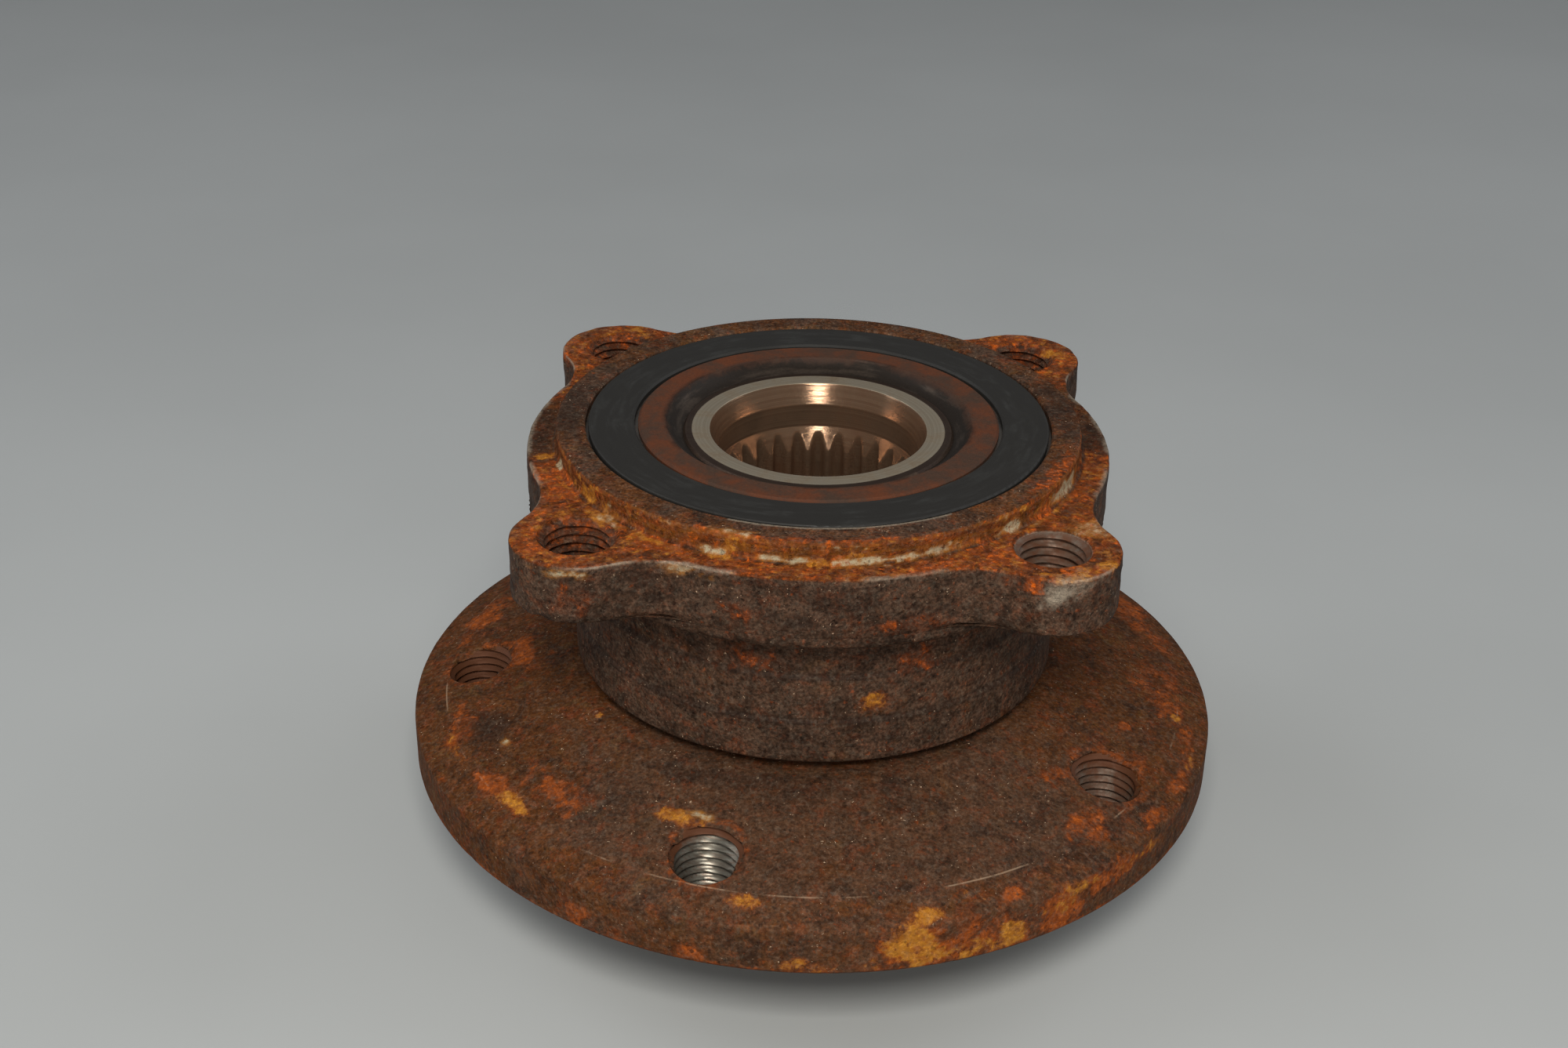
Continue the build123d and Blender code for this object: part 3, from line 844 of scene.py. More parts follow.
def new_material(name: str) -> tuple[bpy.types.Material, Sheet]:
    """Start a material with a Principled shader.

    Args:
        name: Name of the material.

    Returns:
        The material, and the sheet to fill, which ends at the shader.
    """
    material = bpy.data.materials.new(name)
    material.use_nodes = True
    tree = material.node_tree
    return material, Sheet(tree, next(node for node in tree.nodes if node.type == "BSDF_PRINCIPLED"))


# ---- Finishes -----------------------------------------------------------------------------------
@dataclass(frozen=True)
class RustedIron:
    """Forged or turned iron under brown rust, with stains, worn metal, painted shade and painted highlights
    from the mesh's masks.

    Attributes:
        name: Name of the material.
        cool: Purplish brown of the smoother skin.
        warm: Yellower brown.
        olive: Greenish brown of thin deposits.
        dark: Darkest brown.
        red: Red-brown rust in small blooms.
        fresh: Orange rust.
        bright: The brightest orange spots.
        ochre: Yellow rust scale.
        yellow: The brightest yellow spots.
        pale: Whitish deposit, whose whitest parts also paint a highlight.
        bare: Worn metal, which also paints a highlight on the outer ring's pilot edge.
        glint: Colour of painted glints on small grains, and of the scored ring.
        depth: Depth of the bump, in mm.
        gloss: Roughness of the brown skin.
        grit: How strongly the finest grain shades the colour.
        mottle: How strongly soft blots shade the colour.
        scratch: Radius of a scored ring, or 0 for none.
    """

    name: str
    cool: Colour = (70, 47, 32)
    warm: Colour = (76, 43, 18)
    olive: Colour = (86, 61, 31)
    dark: Colour = (40, 27, 20)
    red: Colour = (98, 45, 19)
    fresh: Colour = (128, 62, 22)
    bright: Colour = (164, 82, 28)
    ochre: Colour = (152, 98, 32)
    yellow: Colour = (184, 124, 42)
    pale: Colour = (168, 156, 128)
    bare: Colour = (158, 144, 126)
    glint: Colour = (172, 146, 120)
    depth: float = 0.12
    gloss: float = 0.62
    grit: float = 0.36
    mottle: float = 0.21
    scratch: float = 0.0

    def material(self, shared: SharedEffects) -> bpy.types.Material:
        """Build the material.

        Args:
            shared: The shared node groups.

        Returns:
            The material.
        """
        made, sheet = new_material(self.name)
        where = sheet.group(shared.place)
        place, around = where["Place"], where["Round"]
        grain = sheet.group(shared.grain, Place=place, Lump_Size=1.6, Pit_Size=0.6, Pit_Depth=0.5)
        fine = grain["Fine"].step(0.3, 0.7)
        tones = {"Cool": self.cool, "Warm": self.warm, "Olive": self.olive, "Dark": self.dark}
        warmth = sheet.drawn(Mask.WARM)
        skin = sheet.group(shared.skin, Place=place, Round=around, Warmth=warmth, Red=self.red, **tones)
        mottle = sheet.noise(place, 1 / 3.6, 7.0, 0.68, 0.4).step(0.34, 0.66)
        colour = sheet.times(skin["Color"], mottle.blend(1.0 - self.mottle, 1.0 + self.mottle))
        colour = sheet.times(colour, fine.blend(1.0 - self.grit, 1.0 + self.grit))
        # Darkens towards the darkest brown wherever the mesh marks dirt and painted shade.
        dirt_and_shade = shared.torn(sheet, place, Mask.DIRT_AND_SHADE, 5.0, 0.9, 0.3)
        colour = (dirt_and_shade * 0.7).tint(colour, self.dark)
        tones = {"Rim": self.red, "Body": self.fresh, "Spots": self.bright, "Pocks": self.dark}
        cover = {"Place": place, "Mask": sheet.drawn(Mask.ORANGE), "Size": 2.6, "Spread": 2.2}
        orange = sheet.group(shared.scale, Under=colour, **cover, **tones)
        tones = {"Rim": self.fresh, "Body": self.ochre, "Spots": self.yellow, "Pocks": self.red}
        cover = {"Place": place, "Mask": sheet.drawn(Mask.OCHRE), "Size": 1.8, "Spread": 2.0}
        yellow = sheet.group(shared.scale, Under=orange["Color"], **cover, **tones)
        colour = sheet.times(yellow["Color"], fine.blend(0.78, 1.2))
        scale = sheet.combine("MAXIMUM", orange["Mask"], yellow["Mask"])
        # Pale deposit, whitened towards its middle: partly the deposit's own colour, partly a painted
        # highlight.
        pale = shared.torn(sheet, around, Mask.PALE, 0.9, 1.25, 0.36)
        whiter = sheet.noise(place, 0.9, 6.0, 0.7) * 1.5 + sheet.drawn(Mask.PALE)
        flakes = sheet.noise(place, 1.1, 6.0, 0.74).step(0.34, 0.52)
        deposit_and_highlight = whiter.step(1.15, 1.75).tint(self.ochre, self.pale)
        colour = (pale * flakes.blend(0.2, 0.95)).tint(colour, deposit_and_highlight)
        # Worn bare metal, and a painted highlight where the mesh marks one.
        wear_and_highlight = shared.torn(sheet, place, Mask.WEAR_AND_HIGHLIGHT, 0.9, 1.1, 0.6)
        colour = wear_and_highlight.tint(colour, sheet.times(self.bare, fine.blend(0.72, 1.25)))
        if self.scratch:
            line = sheet.combine("ABSOLUTE", where["Radius"] - self.scratch).step(0.2, 0.04)
            broken = sheet.noise(place, 1 / 9, 6.0, 0.65).step(0.5, 0.62)
            colour = (line * broken * 0.4).tint(colour, self.glint)
        # Painted glints: scattered specks drawn lighter in colour, and smoother, as if catching light.
        patchy = sheet.noise(place, 1 / 6, 4.0, 0.6).step(0.44, 0.6)
        glints = sheet.group(shared.specks, Place=place, Size=0.2, Cover=0.09)["Mask"]
        glints = glints * sheet.combine("SUBTRACT", patchy, scale, clamp=True)
        # Glints are tinted in, and the pits are darkened as painted shade.
        colour = sheet.times(glints.tint(colour, self.glint), grain["Pits"].blend(1.0, 0.62))
        rough = scale.blend(skin["Rust"].blend(self.gloss, self.gloss + 0.22), 0.88)
        rough = pale.blend(rough, 0.3) + (fine - 0.5) * 0.22
        rough = sheet.combine("MAXIMUM", wear_and_highlight, glints).blend(rough, 0.42)
        sheet.give(Base_Color=colour, Roughness=rough, Metallic=wear_and_highlight * 0.7, Specular_IOR_Level=0.06)
        smoothed = sheet.drawn(Mask.SMOOTH).blend(1.0, 0.3)
        sheet.bump((scale * 0.45 + grain["Height"]) * smoothed, self.depth)
        return made


@dataclass(frozen=True)
class RaceFace:
    """The inner ring's end: a rusty flat face round a smoother dish.

    Attributes:
        name: Name of the material.
        dish_edge: Radius where the face turns down into the dish.
        face: Brown of the face.
        rust: Orange-brown of the face's rust.
        dish: Dark grey-brown of the dish.
        sheen: Paler grey of streaks in the dish, greyer metal with a painted sheen.
    """

    name: str
    dish_edge: float = 26.3
    face: Colour = (60, 42, 31)
    rust: Colour = (84, 43, 21)
    dish: Colour = (32, 25, 19)
    sheen: Colour = (70, 60, 52)

    def material(self, shared: SharedEffects) -> bpy.types.Material:
        """Build the material.

        Args:
            shared: The shared node groups.

        Returns:
            The material.
        """
        made, sheet = new_material(self.name)
        where = sheet.group(shared.place)
        fine = sheet.noise(where["Place"], 1.9, 5.0, 0.66)
        clouds = sheet.noise(where["Place"], 1 / 7, 7.0, 0.7, 0.2).step(0.36, 0.64)
        streak = sheet.noise(where["Round"], 0.34, 5.0, 0.6, 0.2).step(0.5, 0.72)
        edge = (clouds - 0.5) * -1.2 + where["Radius"]
        outside = edge.step(self.dish_edge - 1.0, self.dish_edge + 0.8)
        # The dish's streaks are paler grey: greyer metal, with a painted sheen on it.
        colour = outside.tint(streak.tint(self.dish, self.sheen), clouds.tint(self.face, self.rust))
        rough = outside.blend(streak.blend(0.5, 0.4), 0.72)
        sheet.give(
            Base_Color=sheet.times(colour, fine.blend(0.6, 1.4)),
            Roughness=fine * 0.2 + (rough - 0.1),
            Metallic=outside.blend(streak * 0.4 + 0.3, 0.0),
            Specular_IOR_Level=0.2,
        )
        sheet.bump(fine, 0.04)
        return made


@dataclass(frozen=True)
class TurnedSteel:
    """Steel that was turned, ground or polished, with lathe rings and a thin stain.

    Attributes:
        name: Name of the material.
        metal: Colour of the clean metal.
        stain: Colour where it has discoloured.
        stained: How much of it is stained, from 0 to 1, or the mask of the mesh that keeps it clean.
        stain_size: Size of the stains.
        spread: How far noise breaks the stains up.
        polish: Roughness of the clean metal.
        dull: Roughness of the stains.
        rings: Lathe rings in one mm.
        depth: Depth of the rings, in mm.
        metallic: How metallic the clean metal is.
        grit: Share of the fine grain in the bump.
    """

    name: str
    metal: Colour
    stain: Colour
    stained: float | Mask = 0.3
    stain_size: float = 5.0
    spread: float = 1.6
    polish: float = 0.25
    dull: float = 0.6
    rings: float = 2.0
    depth: float = 0.01
    metallic: float = 1.0
    grit: float = 0.5

    def material(self, shared: SharedEffects) -> bpy.types.Material:
        """Build the material.

        Args:
            shared: The shared node groups.

        Returns:
            The material.
        """
        made, sheet = new_material(self.name)
        where = sheet.group(shared.place)
        turned = {"Radius": where["Radius"], "Height": where["Height"], "Rings": self.rings}
        rings = sheet.group(shared.rings, **turned)["Rings"]
        share = 1.0 - sheet.drawn(self.stained) if isinstance(self.stained, Mask) else self.stained
        border = {"Size": self.stain_size, "Spread": self.spread, "Softness": 0.3}
        stain = sheet.group(shared.ragged, Place=where["Place"], Mask=share, **border)["Mask"]
        colour = (rings.step(0.4, 0.7) * 0.6).tint(stain.tint(self.metal, self.stain), self.stain)
        fine = sheet.noise(where["Place"], 1.7, 4.0, 0.6)
        rough = stain.blend(self.polish, self.dull) + (fine - 0.5) * 0.2
        metallic = stain.blend(self.metallic, self.metallic * 0.6)
        sheet.give(Base_Color=colour, Roughness=rough, Metallic=metallic)
        sheet.bump(fine * self.grit + rings, self.depth)
        return made


@dataclass(frozen=True)
class Moulded:
    """Moulded rubber or nylon, faintly mottled and dusty.

    Attributes:
        name: Name of the material.
        base: Its colour.
        dust: Colour of the dust or bloom on it.
        dusty: How much dust it carries, from 0 to 1.
        gloss: Roughness of the clean surface.
        depth: Depth of its grain, in mm.
    """

    name: str
    base: Colour
    dust: Colour
    dusty: float
    gloss: float
    depth: float = 0.02

    def material(self, shared: SharedEffects) -> bpy.types.Material:
        """Build the material.

        Args:
            shared: The shared node groups.

        Returns:
            The material.
        """
        made, sheet = new_material(self.name)
        where = sheet.group(shared.place)
        place = where["Place"]
        grain = sheet.group(shared.grain, Place=place, Lump_Size=3.0, Pit_Size=0.8, Pit_Depth=0.2)
        dust = sheet.group(shared.ragged, Place=place, Mask=self.dusty, Size=7.0, Spread=1.5, Softness=0.35)
        wiped = sheet.noise(where["Round"], 0.7, 5.0, 0.6, 0.3).step(0.44, 0.66)
        share = dust["Mask"] * 0.7 * wiped
        rough = grain["Fine"] * 0.24 + (self.gloss - 0.12)
        sheet.give(
            Base_Color=share.tint(self.base, self.dust),
            Roughness=share.blend(rough, self.gloss + 0.2),
            Specular_IOR_Level=0.3,
        )
        sheet.bump(grain["Height"], self.depth)
        return made


class FinishBook:
    """Every finish of the unit, each built once."""

    def __init__(self) -> None:
        """Build the materials."""
        shared = SharedEffects()
        self.hub = RustedIron("rusted_hub_flange", grit=0.22, scratch=66.2).material(shared)
        self.ring = RustedIron(
            "rusted_outer_ring", cool=(63, 45, 34), fresh=(118, 55, 20), bright=(204, 94, 22),
            ochre=(146, 90, 26), depth=0.3, grit=0.4, mottle=0.36,
        ).material(shared)
        self.inner_face = RaceFace("rusted_race_face").material(shared)
        self.silver = TurnedSteel(
            "worn_nose_face", (160, 149, 130), (112, 94, 72),
            stained=0.36, spread=1.5, polish=0.34, dull=0.52, metallic=0.7,
        ).material(shared)
        self.roll = TurnedSteel(
            "browned_nose_edge", (92, 74, 58), (46, 31, 22), stained=0.6, spread=1.4, polish=0.26, dull=0.5
        ).material(shared)
        self.bore = TurnedSteel(
            "browned_bore", (162, 134, 108), (94, 60, 41), stained=0.45, stain_size=16.0, spread=0.8,
            polish=0.14, dull=0.2, rings=3.0, depth=0.022, metallic=0.9, grit=0.03,
        ).material(shared)
        self.thread = TurnedSteel(
            "dull_thread", (112, 108, 98), (88, 50, 26), stained=Mask.WEAR_AND_HIGHLIGHT, stain_size=3.0, spread=1.0,
            polish=0.36, dull=0.7, metallic=0.75,
        ).material(shared)
        self.race = TurnedSteel(
            "ground_raceway", (186, 186, 188), (150, 146, 140), 0.15, stain_size=6.0, polish=0.14, dull=0.3
        ).material(shared)
        self.ball = TurnedSteel(
            "polished_ball", (200, 202, 206), (180, 180, 182),
            stained=0.1, polish=0.06, dull=0.12, rings=0.2, depth=0.001,
        ).material(shared)
        self.case = TurnedSteel(
            "pressed_seal_steel", (128, 124, 118), (84, 64, 50), stained=0.4, polish=0.35
        ).material(shared)
        self.lips = Moulded("seal_rubber", (34, 33, 33), (70, 62, 54), 0.35, 0.55).material(shared)
        self.encoder = Moulded(
            "encoder_rubber", (29, 27, 24), (48, 48, 46), 0.42, 0.56, depth=0.012
        ).material(shared)
        self.cage = Moulded("cage_nylon", (196, 178, 140), (150, 124, 84), 0.3, 0.45).material(shared)


def dress(piece: bpy.types.Object, *materials: bpy.types.Material) -> None:
    """Give a piece its materials, one for each of its slots.

    Args:
        piece: A new piece or a CAD node.
        *materials: The materials in slot order; the last one also fills any slots left over.
    """
    if not piece.data.materials:
        for material in materials:
            piece.data.materials.append(material)
        return
    for number, holder in enumerate(piece.material_slots):
        holder.material = materials[min(number, len(materials) - 1)]


# ---- Wheel hub ----------------------------------------------------------------------------------
@dataclass
class WheelHub:
    """The turned, drilled and broached hub forging, meshed for its rust.

    Attributes:
        flange: Radius of the wheel flange.
        face: Height of the face that the brake disc sits on.
        rim: Height of the rim's inboard edge.
        seal_face: Height of the turned face under the outboard seal.
        cone_start: Radius where the flange's cone starts.
        slope: Fall of the cone for each mm outwards.
        band: Width of the rim's slightly lower band.
        wheel_spigot: Radius that centres the wheel.
        disc_spigot: Radius that centres the brake disc.
        relief: Radius of the groove behind the disc spigot.
        race: Radius and height of the raceway arc's centre.
        race_radius: Radius of the raceway's arc.
        spindle: Radius of the spindle under the inner ring.
        nose: Height of the rolled nose's face.
        lead_in: Radius of the bore above the spline's cone.
        recess: Radius of the nut recess.
        bolt_circle: Radius of the wheel bolts' circle.
        bolt_turn: Azimuth of the first wheel bolt hole, in degrees.
        bolts: How many wheel bolt holes there are.
        disc_screw: Radius and azimuth of the disc screw's hole.
        teeth: Teeth of the spline.
        crest: Radius of the teeth's crests.
        root: Radius of the spaces' floors.
        half_space: Half the width of a space at the crests.
        bolt_tap: Cutter of the wheel bolt holes.
        screw_tap: Cutter of the disc screw's hole.
        columns_per_tooth: Mesh columns for each tooth.
        clean_threads: How bare the thread of each wheel bolt hole is, from 0 to 1.
        zones: Outer radius and low end of each zone near the axis; later ones win.
    """

    flange: float = 72.0
    face: float = 20.0
    rim: float = 28.6
    seal_face: float = 37.6
    cone_start: float = 43.6
    slope: float = 0.284
    band: float = 6.2
    wheel_spigot: float = 36.25
    disc_spigot: float = 37.45
    relief: float = 36.85
    race: Spot = (32.6586, 52.3331)
    race_radius: float = 6.2
    spindle: float = 22.5
    nose: float = 80.75
    lead_in: float = 17.3
    recess: float = 17.4
    bolt_circle: float = 60.0
    bolt_turn: float = -105.5
    bolts: int = 5
    disc_screw: Spot = (59.0, 74.5)
    teeth: int = 28
    crest: float = 15.6
    root: float = 16.9
    half_space: float = 1.4
    bolt_tap: Tap = Tap(6.0, 5.19, 1.5, 0.4)
    screw_tap: Tap = Tap(4.0, 3.4, 1.25, 0.4, columns=32)
    columns_per_tooth: int = 14
    clean_threads: tuple[float, ...] = (0.95, 0.42, 0.3, 0.3, 0.1)
    zones: tuple[tuple[HubZone, float, float], ...] = (
        (HubZone.RACE, 34.2, 42.0), (HubZone.ROLL, 24.0, 77.0),
        (HubZone.NOSE, 21.6, 78.0), (HubZone.BORE, 18.6, 21.0),
    )

    def top(self, radius: float | np.ndarray) -> float | np.ndarray:
        """Height of the flange's coned side at a radius."""
        return self.seal_face - self.slope * (radius - self.cone_start)

    def holes(self) -> list[Spot]:
        """Axes of the wheel bolt holes."""
        return [polar(self.bolt_circle, self.bolt_turn + 360 / self.bolts * n) for n in range(self.bolts)]

    def corners(self) -> list[Corner]:
        """The hub's section, from the nut recess out round the flange and up over the spindle."""
        band = self.flange - self.band
        flange_side = [
            (31.0, 0.0), (34.25, 0.0, MEDIUM, 0.4),
            (self.wheel_spigot, 4.0, MEDIUM, 0.6), (self.wheel_spigot, 12.5, MEDIUM),
            (self.disc_spigot, 13.7, MEDIUM), (self.disc_spigot, 18.0, MEDIUM),
            (self.relief, 18.6, MEDIUM), (self.relief, 20.6, MEDIUM),
            (38.05, 20.6, MEDIUM), (38.65, self.face, MEDIUM),
            (self.flange - 0.9, self.face, 2.8, 0.3), (self.flange, self.face + 0.9, 0.5, 0.4),
            (self.flange, self.rim, FINE, 0.45), (band, self.top(band) - 0.15, FINE),
            (band - 0.3, self.top(band - 0.3), 0.4),
            (self.cone_start, self.top(self.cone_start), FINE, 3.0), (31.0, self.seal_face, 1.2, 3.6),
        ]
        spindle_side = [
            (27.66, 61.0), (27.26, 61.4), (22.2, 61.4), (22.2, 63.0),
            (self.spindle, 63.3), (self.spindle, 77.9, 4.0), (23.3, 80.2, 0.8),
            (22.95, self.nose - 0.1, 0.4), (21.8, self.nose, 0.6),
            (18.73, self.nose, 0.8, 0.15), (self.lead_in, 77.18, 0.7, 0.3), (self.lead_in, 72.88, 0.7, 0.3),
            (self.crest, 68.67, 0.34), (self.crest, 23.8, 8.0),
            (self.recess, 22.0, 0.9), (self.recess, 18.5), (17.9, 18.0), (25.0, 18.0, MEDIUM, 3.0),
        ]
        raceway = groove(self.race, self.race_radius, 254.48, 143.75, 11)
        return [*(Corner(*row) for row in flange_side), *raceway, *(Corner(*row) for row in spindle_side)]

    def places(self) -> np.ndarray:
        """The turned section swept round, with the spline's teeth in its bore."""
        rows = section(self.corners())
        count = self.teeth * self.columns_per_tooth
        turns = np.arange(count) * 2 * math.pi / count
        radius = np.repeat(rows[:, :1], count, axis=1)
        splined = (rows[:, 0] < self.root) & (rows[:, 1] > self.face + 2.0) & (rows[:, 1] < 73.0)
        arc = (turns * self.teeth / (2 * math.pi) + 0.5) % 1.0 - 0.5
        across = np.abs(arc) * 2 * math.pi * self.crest / self.teeth
        space = self.crest + (self.root - self.crest) * np.clip(self.half_space - across, 0.0, 1.0)
        radius[splined] = np.maximum(radius[splined], space[None, :])
        return swept(radius, turns, rows[:, 1:2])

    def roughen(self, mesh: bpy.types.Mesh) -> None:
        """Give the flange's skin its dents, scale and pitting.

        Args:
            mesh: The hub's mesh before its holes are cut.
        """
        places, normals = read_vectors(mesh.vertices, "co") / MM, read_vectors(mesh.vertex_normals, "vector")
        reach = np.hypot(places[:, 0], places[:, 1])
        outer = smooth_step(reach, 39.5, 42.0) * smooth_step(places[:, 2], self.face + 0.2, self.face + 1.4)
        skin = 0.045 * rough_noise(places, 5.0, 3, 3) + 0.035 * rough_noise(places, 1.7, 2, 9)
        pits = -0.12 * blots(places, 2.4, 2, 21, 0.42, 0.8)
        rim = smooth_step(reach, self.flange - 1.2, self.flange - 0.2)
        chips = -0.25 * rim * blots(places, 3.2, 2, 31, 0.35, 0.8)
        scale = np.zeros(len(places))
        for number, patch in enumerate(self.stains()):
            if patch.mask in (Mask.OCHRE, Mask.ORANGE):
                scale = np.maximum(scale, patch.cover(places, number))
        scale *= 0.07 + 0.07 * rough_noise(places, 1.5, 2, 27)
        sunk = -0.1 * smooth_step(reach, self.flange - 0.4, self.flange)
        moved = places + normals * (outer * (skin + pits + chips + scale + sunk))[:, None]
        limit = np.minimum(1.0, (self.flange - 0.002) / np.maximum(np.hypot(moved[:, 0], moved[:, 1]), 1.0))
        moved[:, :2] *= limit[:, None]
        shift(mesh, moved)

    def stains(self) -> list[Stain]:
        """Patches of the flange's rust and pale deposits, a darker patch, and a band of painted shadow under
        the outer ring.
        """
        side = self.flange - 0.2
        orange, ochre, pale, dirt_and_shade = Mask.ORANGE, Mask.OCHRE, Mask.PALE, Mask.DIRT_AND_SHADE
        rows = [
            (ochre, -76.3, side, 25, 6.4, 2.6, 4.4), (ochre, -74.5, 70.8, 29.6, 3.4, 1.8, 1.6, 0.9),
            (ochre, -68.5, side, 22.6, 4.4, 2.6, 2.2, 0.62), (ochre, -62.7, side, 23.4, 2.8, 2.6, 3.4),
            (ochre, -90, side, 22, 7, 2.6, 2, 0.5, 0.8), (orange, -72, side, 24, 14, 3, 5, 0.62, 0.8),
            (orange, -54.6, side, 24.6, 4.6, 3, 4.2), (ochre, -55.6, side, 25.6, 3.4, 2, 2.2, 0.62, 0.9),
            (ochre, -51.5, side, 27.6, 4, 2.6, 1.6, 0.66, 0.8),
            (orange, -45, side, 26.6, 9, 2.6, 2.6, 0.85, 0.8),
            (ochre, -40, side, 26.4, 8, 2.6, 1.2, 0.6, 0.8), (orange, -62.5, 70.3, 29.9, 2.8, 1.6, 2, 0.8),
            (orange, -43.5, 65, 31.5, 6.5, 3.6, 3, 0.6, 0.9),
            (orange, -40.5, 54.6, 34.4, 3, 3.4, 3, 0.6, 0.9),
            (orange, -26, 61.5, 32.4, 3.6, 4, 3, 0.58, 0.9),
            (orange, -14.7, 68.3, 30.6, 5, 1.8, 2, 0.8, 0.8),
            (orange, -25, 69.8, 30.1, 7, 1.6, 2, 0.66, 0.9), (ochre, -10.5, 66.1, 31.2, 1.5, 1.3, 2, 0.9),
            (ochre, -20, 70, 30, 4, 1, 2, 0.6, 0.8), (orange, -34.6, 70.2, 30.1, 4, 1.6, 2, 0.75, 0.8),
            (orange, -19.1, 57.9, 33.5, 1.5, 1.4, 2, 1.1, 0.3), (orange, -2, 62.6, 32.2, 9, 7, 4, 0.56, 0.9),
            (orange, -146, 66.3, 31.2, 3.2, 1.3, 2, 1.1, 0.5),
            (ochre, -138.6, 65.4, 31.4, 5, 1.3, 2, 1.05, 0.5),
            (orange, -142, 65.2, 31.4, 6, 2.2, 2, 0.66, 0.8),
            (orange, -134.5, 59.6, 33, 8, 3.4, 3, 0.64, 0.9), (orange, -150.8, 71, 29.8, 1.6, 1, 2, 0.9),
            (ochre, -144.6, 44.4, 37.3, 0.9, 0.8, 1.5, 0.95, 0.4),
            (pale, -151.4, 59.4, 33.1, 1, 0.7, 1.5, 0.95, 0.5),
            (orange, -160.7, 64.9, 31.6, 7, 3.4, 3, 0.6, 0.9), (ochre, -156, 67, 31, 6, 1.2, 2, 0.5, 0.9),
            (orange, 166.2, 63.7, 31.9, 8, 4.4, 3, 0.78, 0.8),
            (orange, -176.6, 52.7, 35, 6, 3.4, 3, 0.72, 0.8), (dirt_and_shade, -157, 60.5, 32.8, 7, 5, 3, 0.8),
            (ochre, -112.5, 54.9, 34.4, 5.4, 1.9, 2.5, 0.72, 0.8),
            (pale, -109.5, 53.6, 34.7, 4, 1.1, 2.5, 0.72, 0.7),
            (ochre, -98.6, 67.3, 30.9, 2.8, 1.4, 2, 0.66, 0.7),
            (orange, -104.5, side, 22.4, 2.6, 2.6, 2, 0.85),
            (orange, -121.5, side, 23, 4, 2.6, 2.6, 0.66, 0.8), (orange, 25, 66, 31, 16, 5, 4, 0.7, 0.8),
            (orange, 130, 64, 31.6, 18, 6, 4, 0.7, 0.8), (orange, 88, 67, 30.8, 14, 4, 4, 0.75, 0.8),
            # The next patch is painted shadow: a dark band on the flange under the outer ring's front foot.
            (dirt_and_shade, -100, 45.5, 37, 26, 4, 3, 0.6),
        ]
        return [Stain(*row) for row in rows]

    def weather(self, mesh: bpy.types.Mesh) -> None:
        """Fill the hub's masks in.

        Args:
            mesh: The finished mesh.
        """
        places = read_vectors(mesh.vertices, "co") / MM
        masks = Weather(places)
        masks.stain(self.stains())
        reach, height = np.hypot(places[:, 0], places[:, 1]), places[:, 2]
        front = turn_from(places, FRONT)
        coned = (reach > 40.0) & (height > self.face + 1.0)
        cloud = 0.16 * rough_noise(places, 22.0, 3, 15)
        masks.lift(Mask.WARM, np.where(coned, 0.24 + 0.6 * smooth_step(front, 22.0, 75.0) + cloud, 0.4))
        masks.lift(Mask.ORANGE, np.where(coned, 0.2 * smooth_step(front, 60.0, 130.0), 0.0))
        band = smooth_step(reach, self.flange - self.band - 0.6, self.flange - self.band + 1.4)
        masks.lift(Mask.WARM, 0.45 * band)
        masks.lift(Mask.OCHRE, 0.12 * band * (height > self.face + 0.5))
        low_rim = smooth_step(reach, self.flange - 1.6, self.flange - 0.6)
        low_rim *= 1.0 - smooth_step(height, self.face + 0.9, self.face + 2.2)
        masks.lift(Mask.ORANGE, 0.48 * low_rim)
        mouth, hole = hole_distance(places, self.holes()), self.bolt_tap.root
        around = (1.0 - smooth_step(mouth, hole + 0.4, hole + 2.6)) * (mouth > hole - 0.1) * coned
        masks.lift(Mask.ORANGE, 0.4 * around)
        depth = self.top(reach) - height
        for centre, clean in zip(self.holes(), self.clean_threads):
            inside = (hole_distance(places, [centre]) < hole + 0.4) & (depth > 0.8)
            masks.lift(Mask.WEAR_AND_HIGHLIGHT, np.where(inside, clean * smooth_step(depth, 0.8, 3.6), 0.0))
        masks.lift(Mask.SMOOTH, np.where(reach < 40.0, 1.0, 0.0))
        masks.store(mesh)

    def build(self, finishes: FinishBook) -> bpy.types.Object:
        """Mesh, cut, roughen and dress the hub.

        Args:
            finishes: The finishes.

        Returns:
            The piece.
        """
        piece = new_mesh("hub_body", [tube(self.places())])
        self.roughen(piece.data)
        high = self.top(self.bolt_circle)
        taps = [self.bolt_tap.shell(centre, self.face, high, self.slope) for centre in self.holes()]
        high = self.top(self.disc_screw[0])
        taps.append(self.screw_tap.shell(polar(*self.disc_screw), self.face, high, self.slope))
        cut(piece, new_mesh("hub_taps", taps))
        self.weather(piece.data)
        inner = (finishes.silver, finishes.bore, finishes.race, finishes.thread, finishes.roll)
        dress(piece, finishes.hub, *inner)
        middles = read_vectors(piece.data.polygons, "center") / MM
        reach = np.hypot(middles[:, 0], middles[:, 1])
        choice = np.full(len(middles), HubZone.SKIN, np.int32)
        for zone, radius, low in self.zones:
            choice[(reach < radius) & (middles[:, 2] > low)] = zone
        below = self.top(reach) - middles[:, 2] > 0.55
        choice[(hole_distance(middles, self.holes()) < self.bolt_tap.root + 0.05) & below] = HubZone.THREAD
        piece.data.polygons.foreach_set("material_index", choice)
        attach(piece, Body.HUB.value)
        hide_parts("wheel_hub")
        return piece


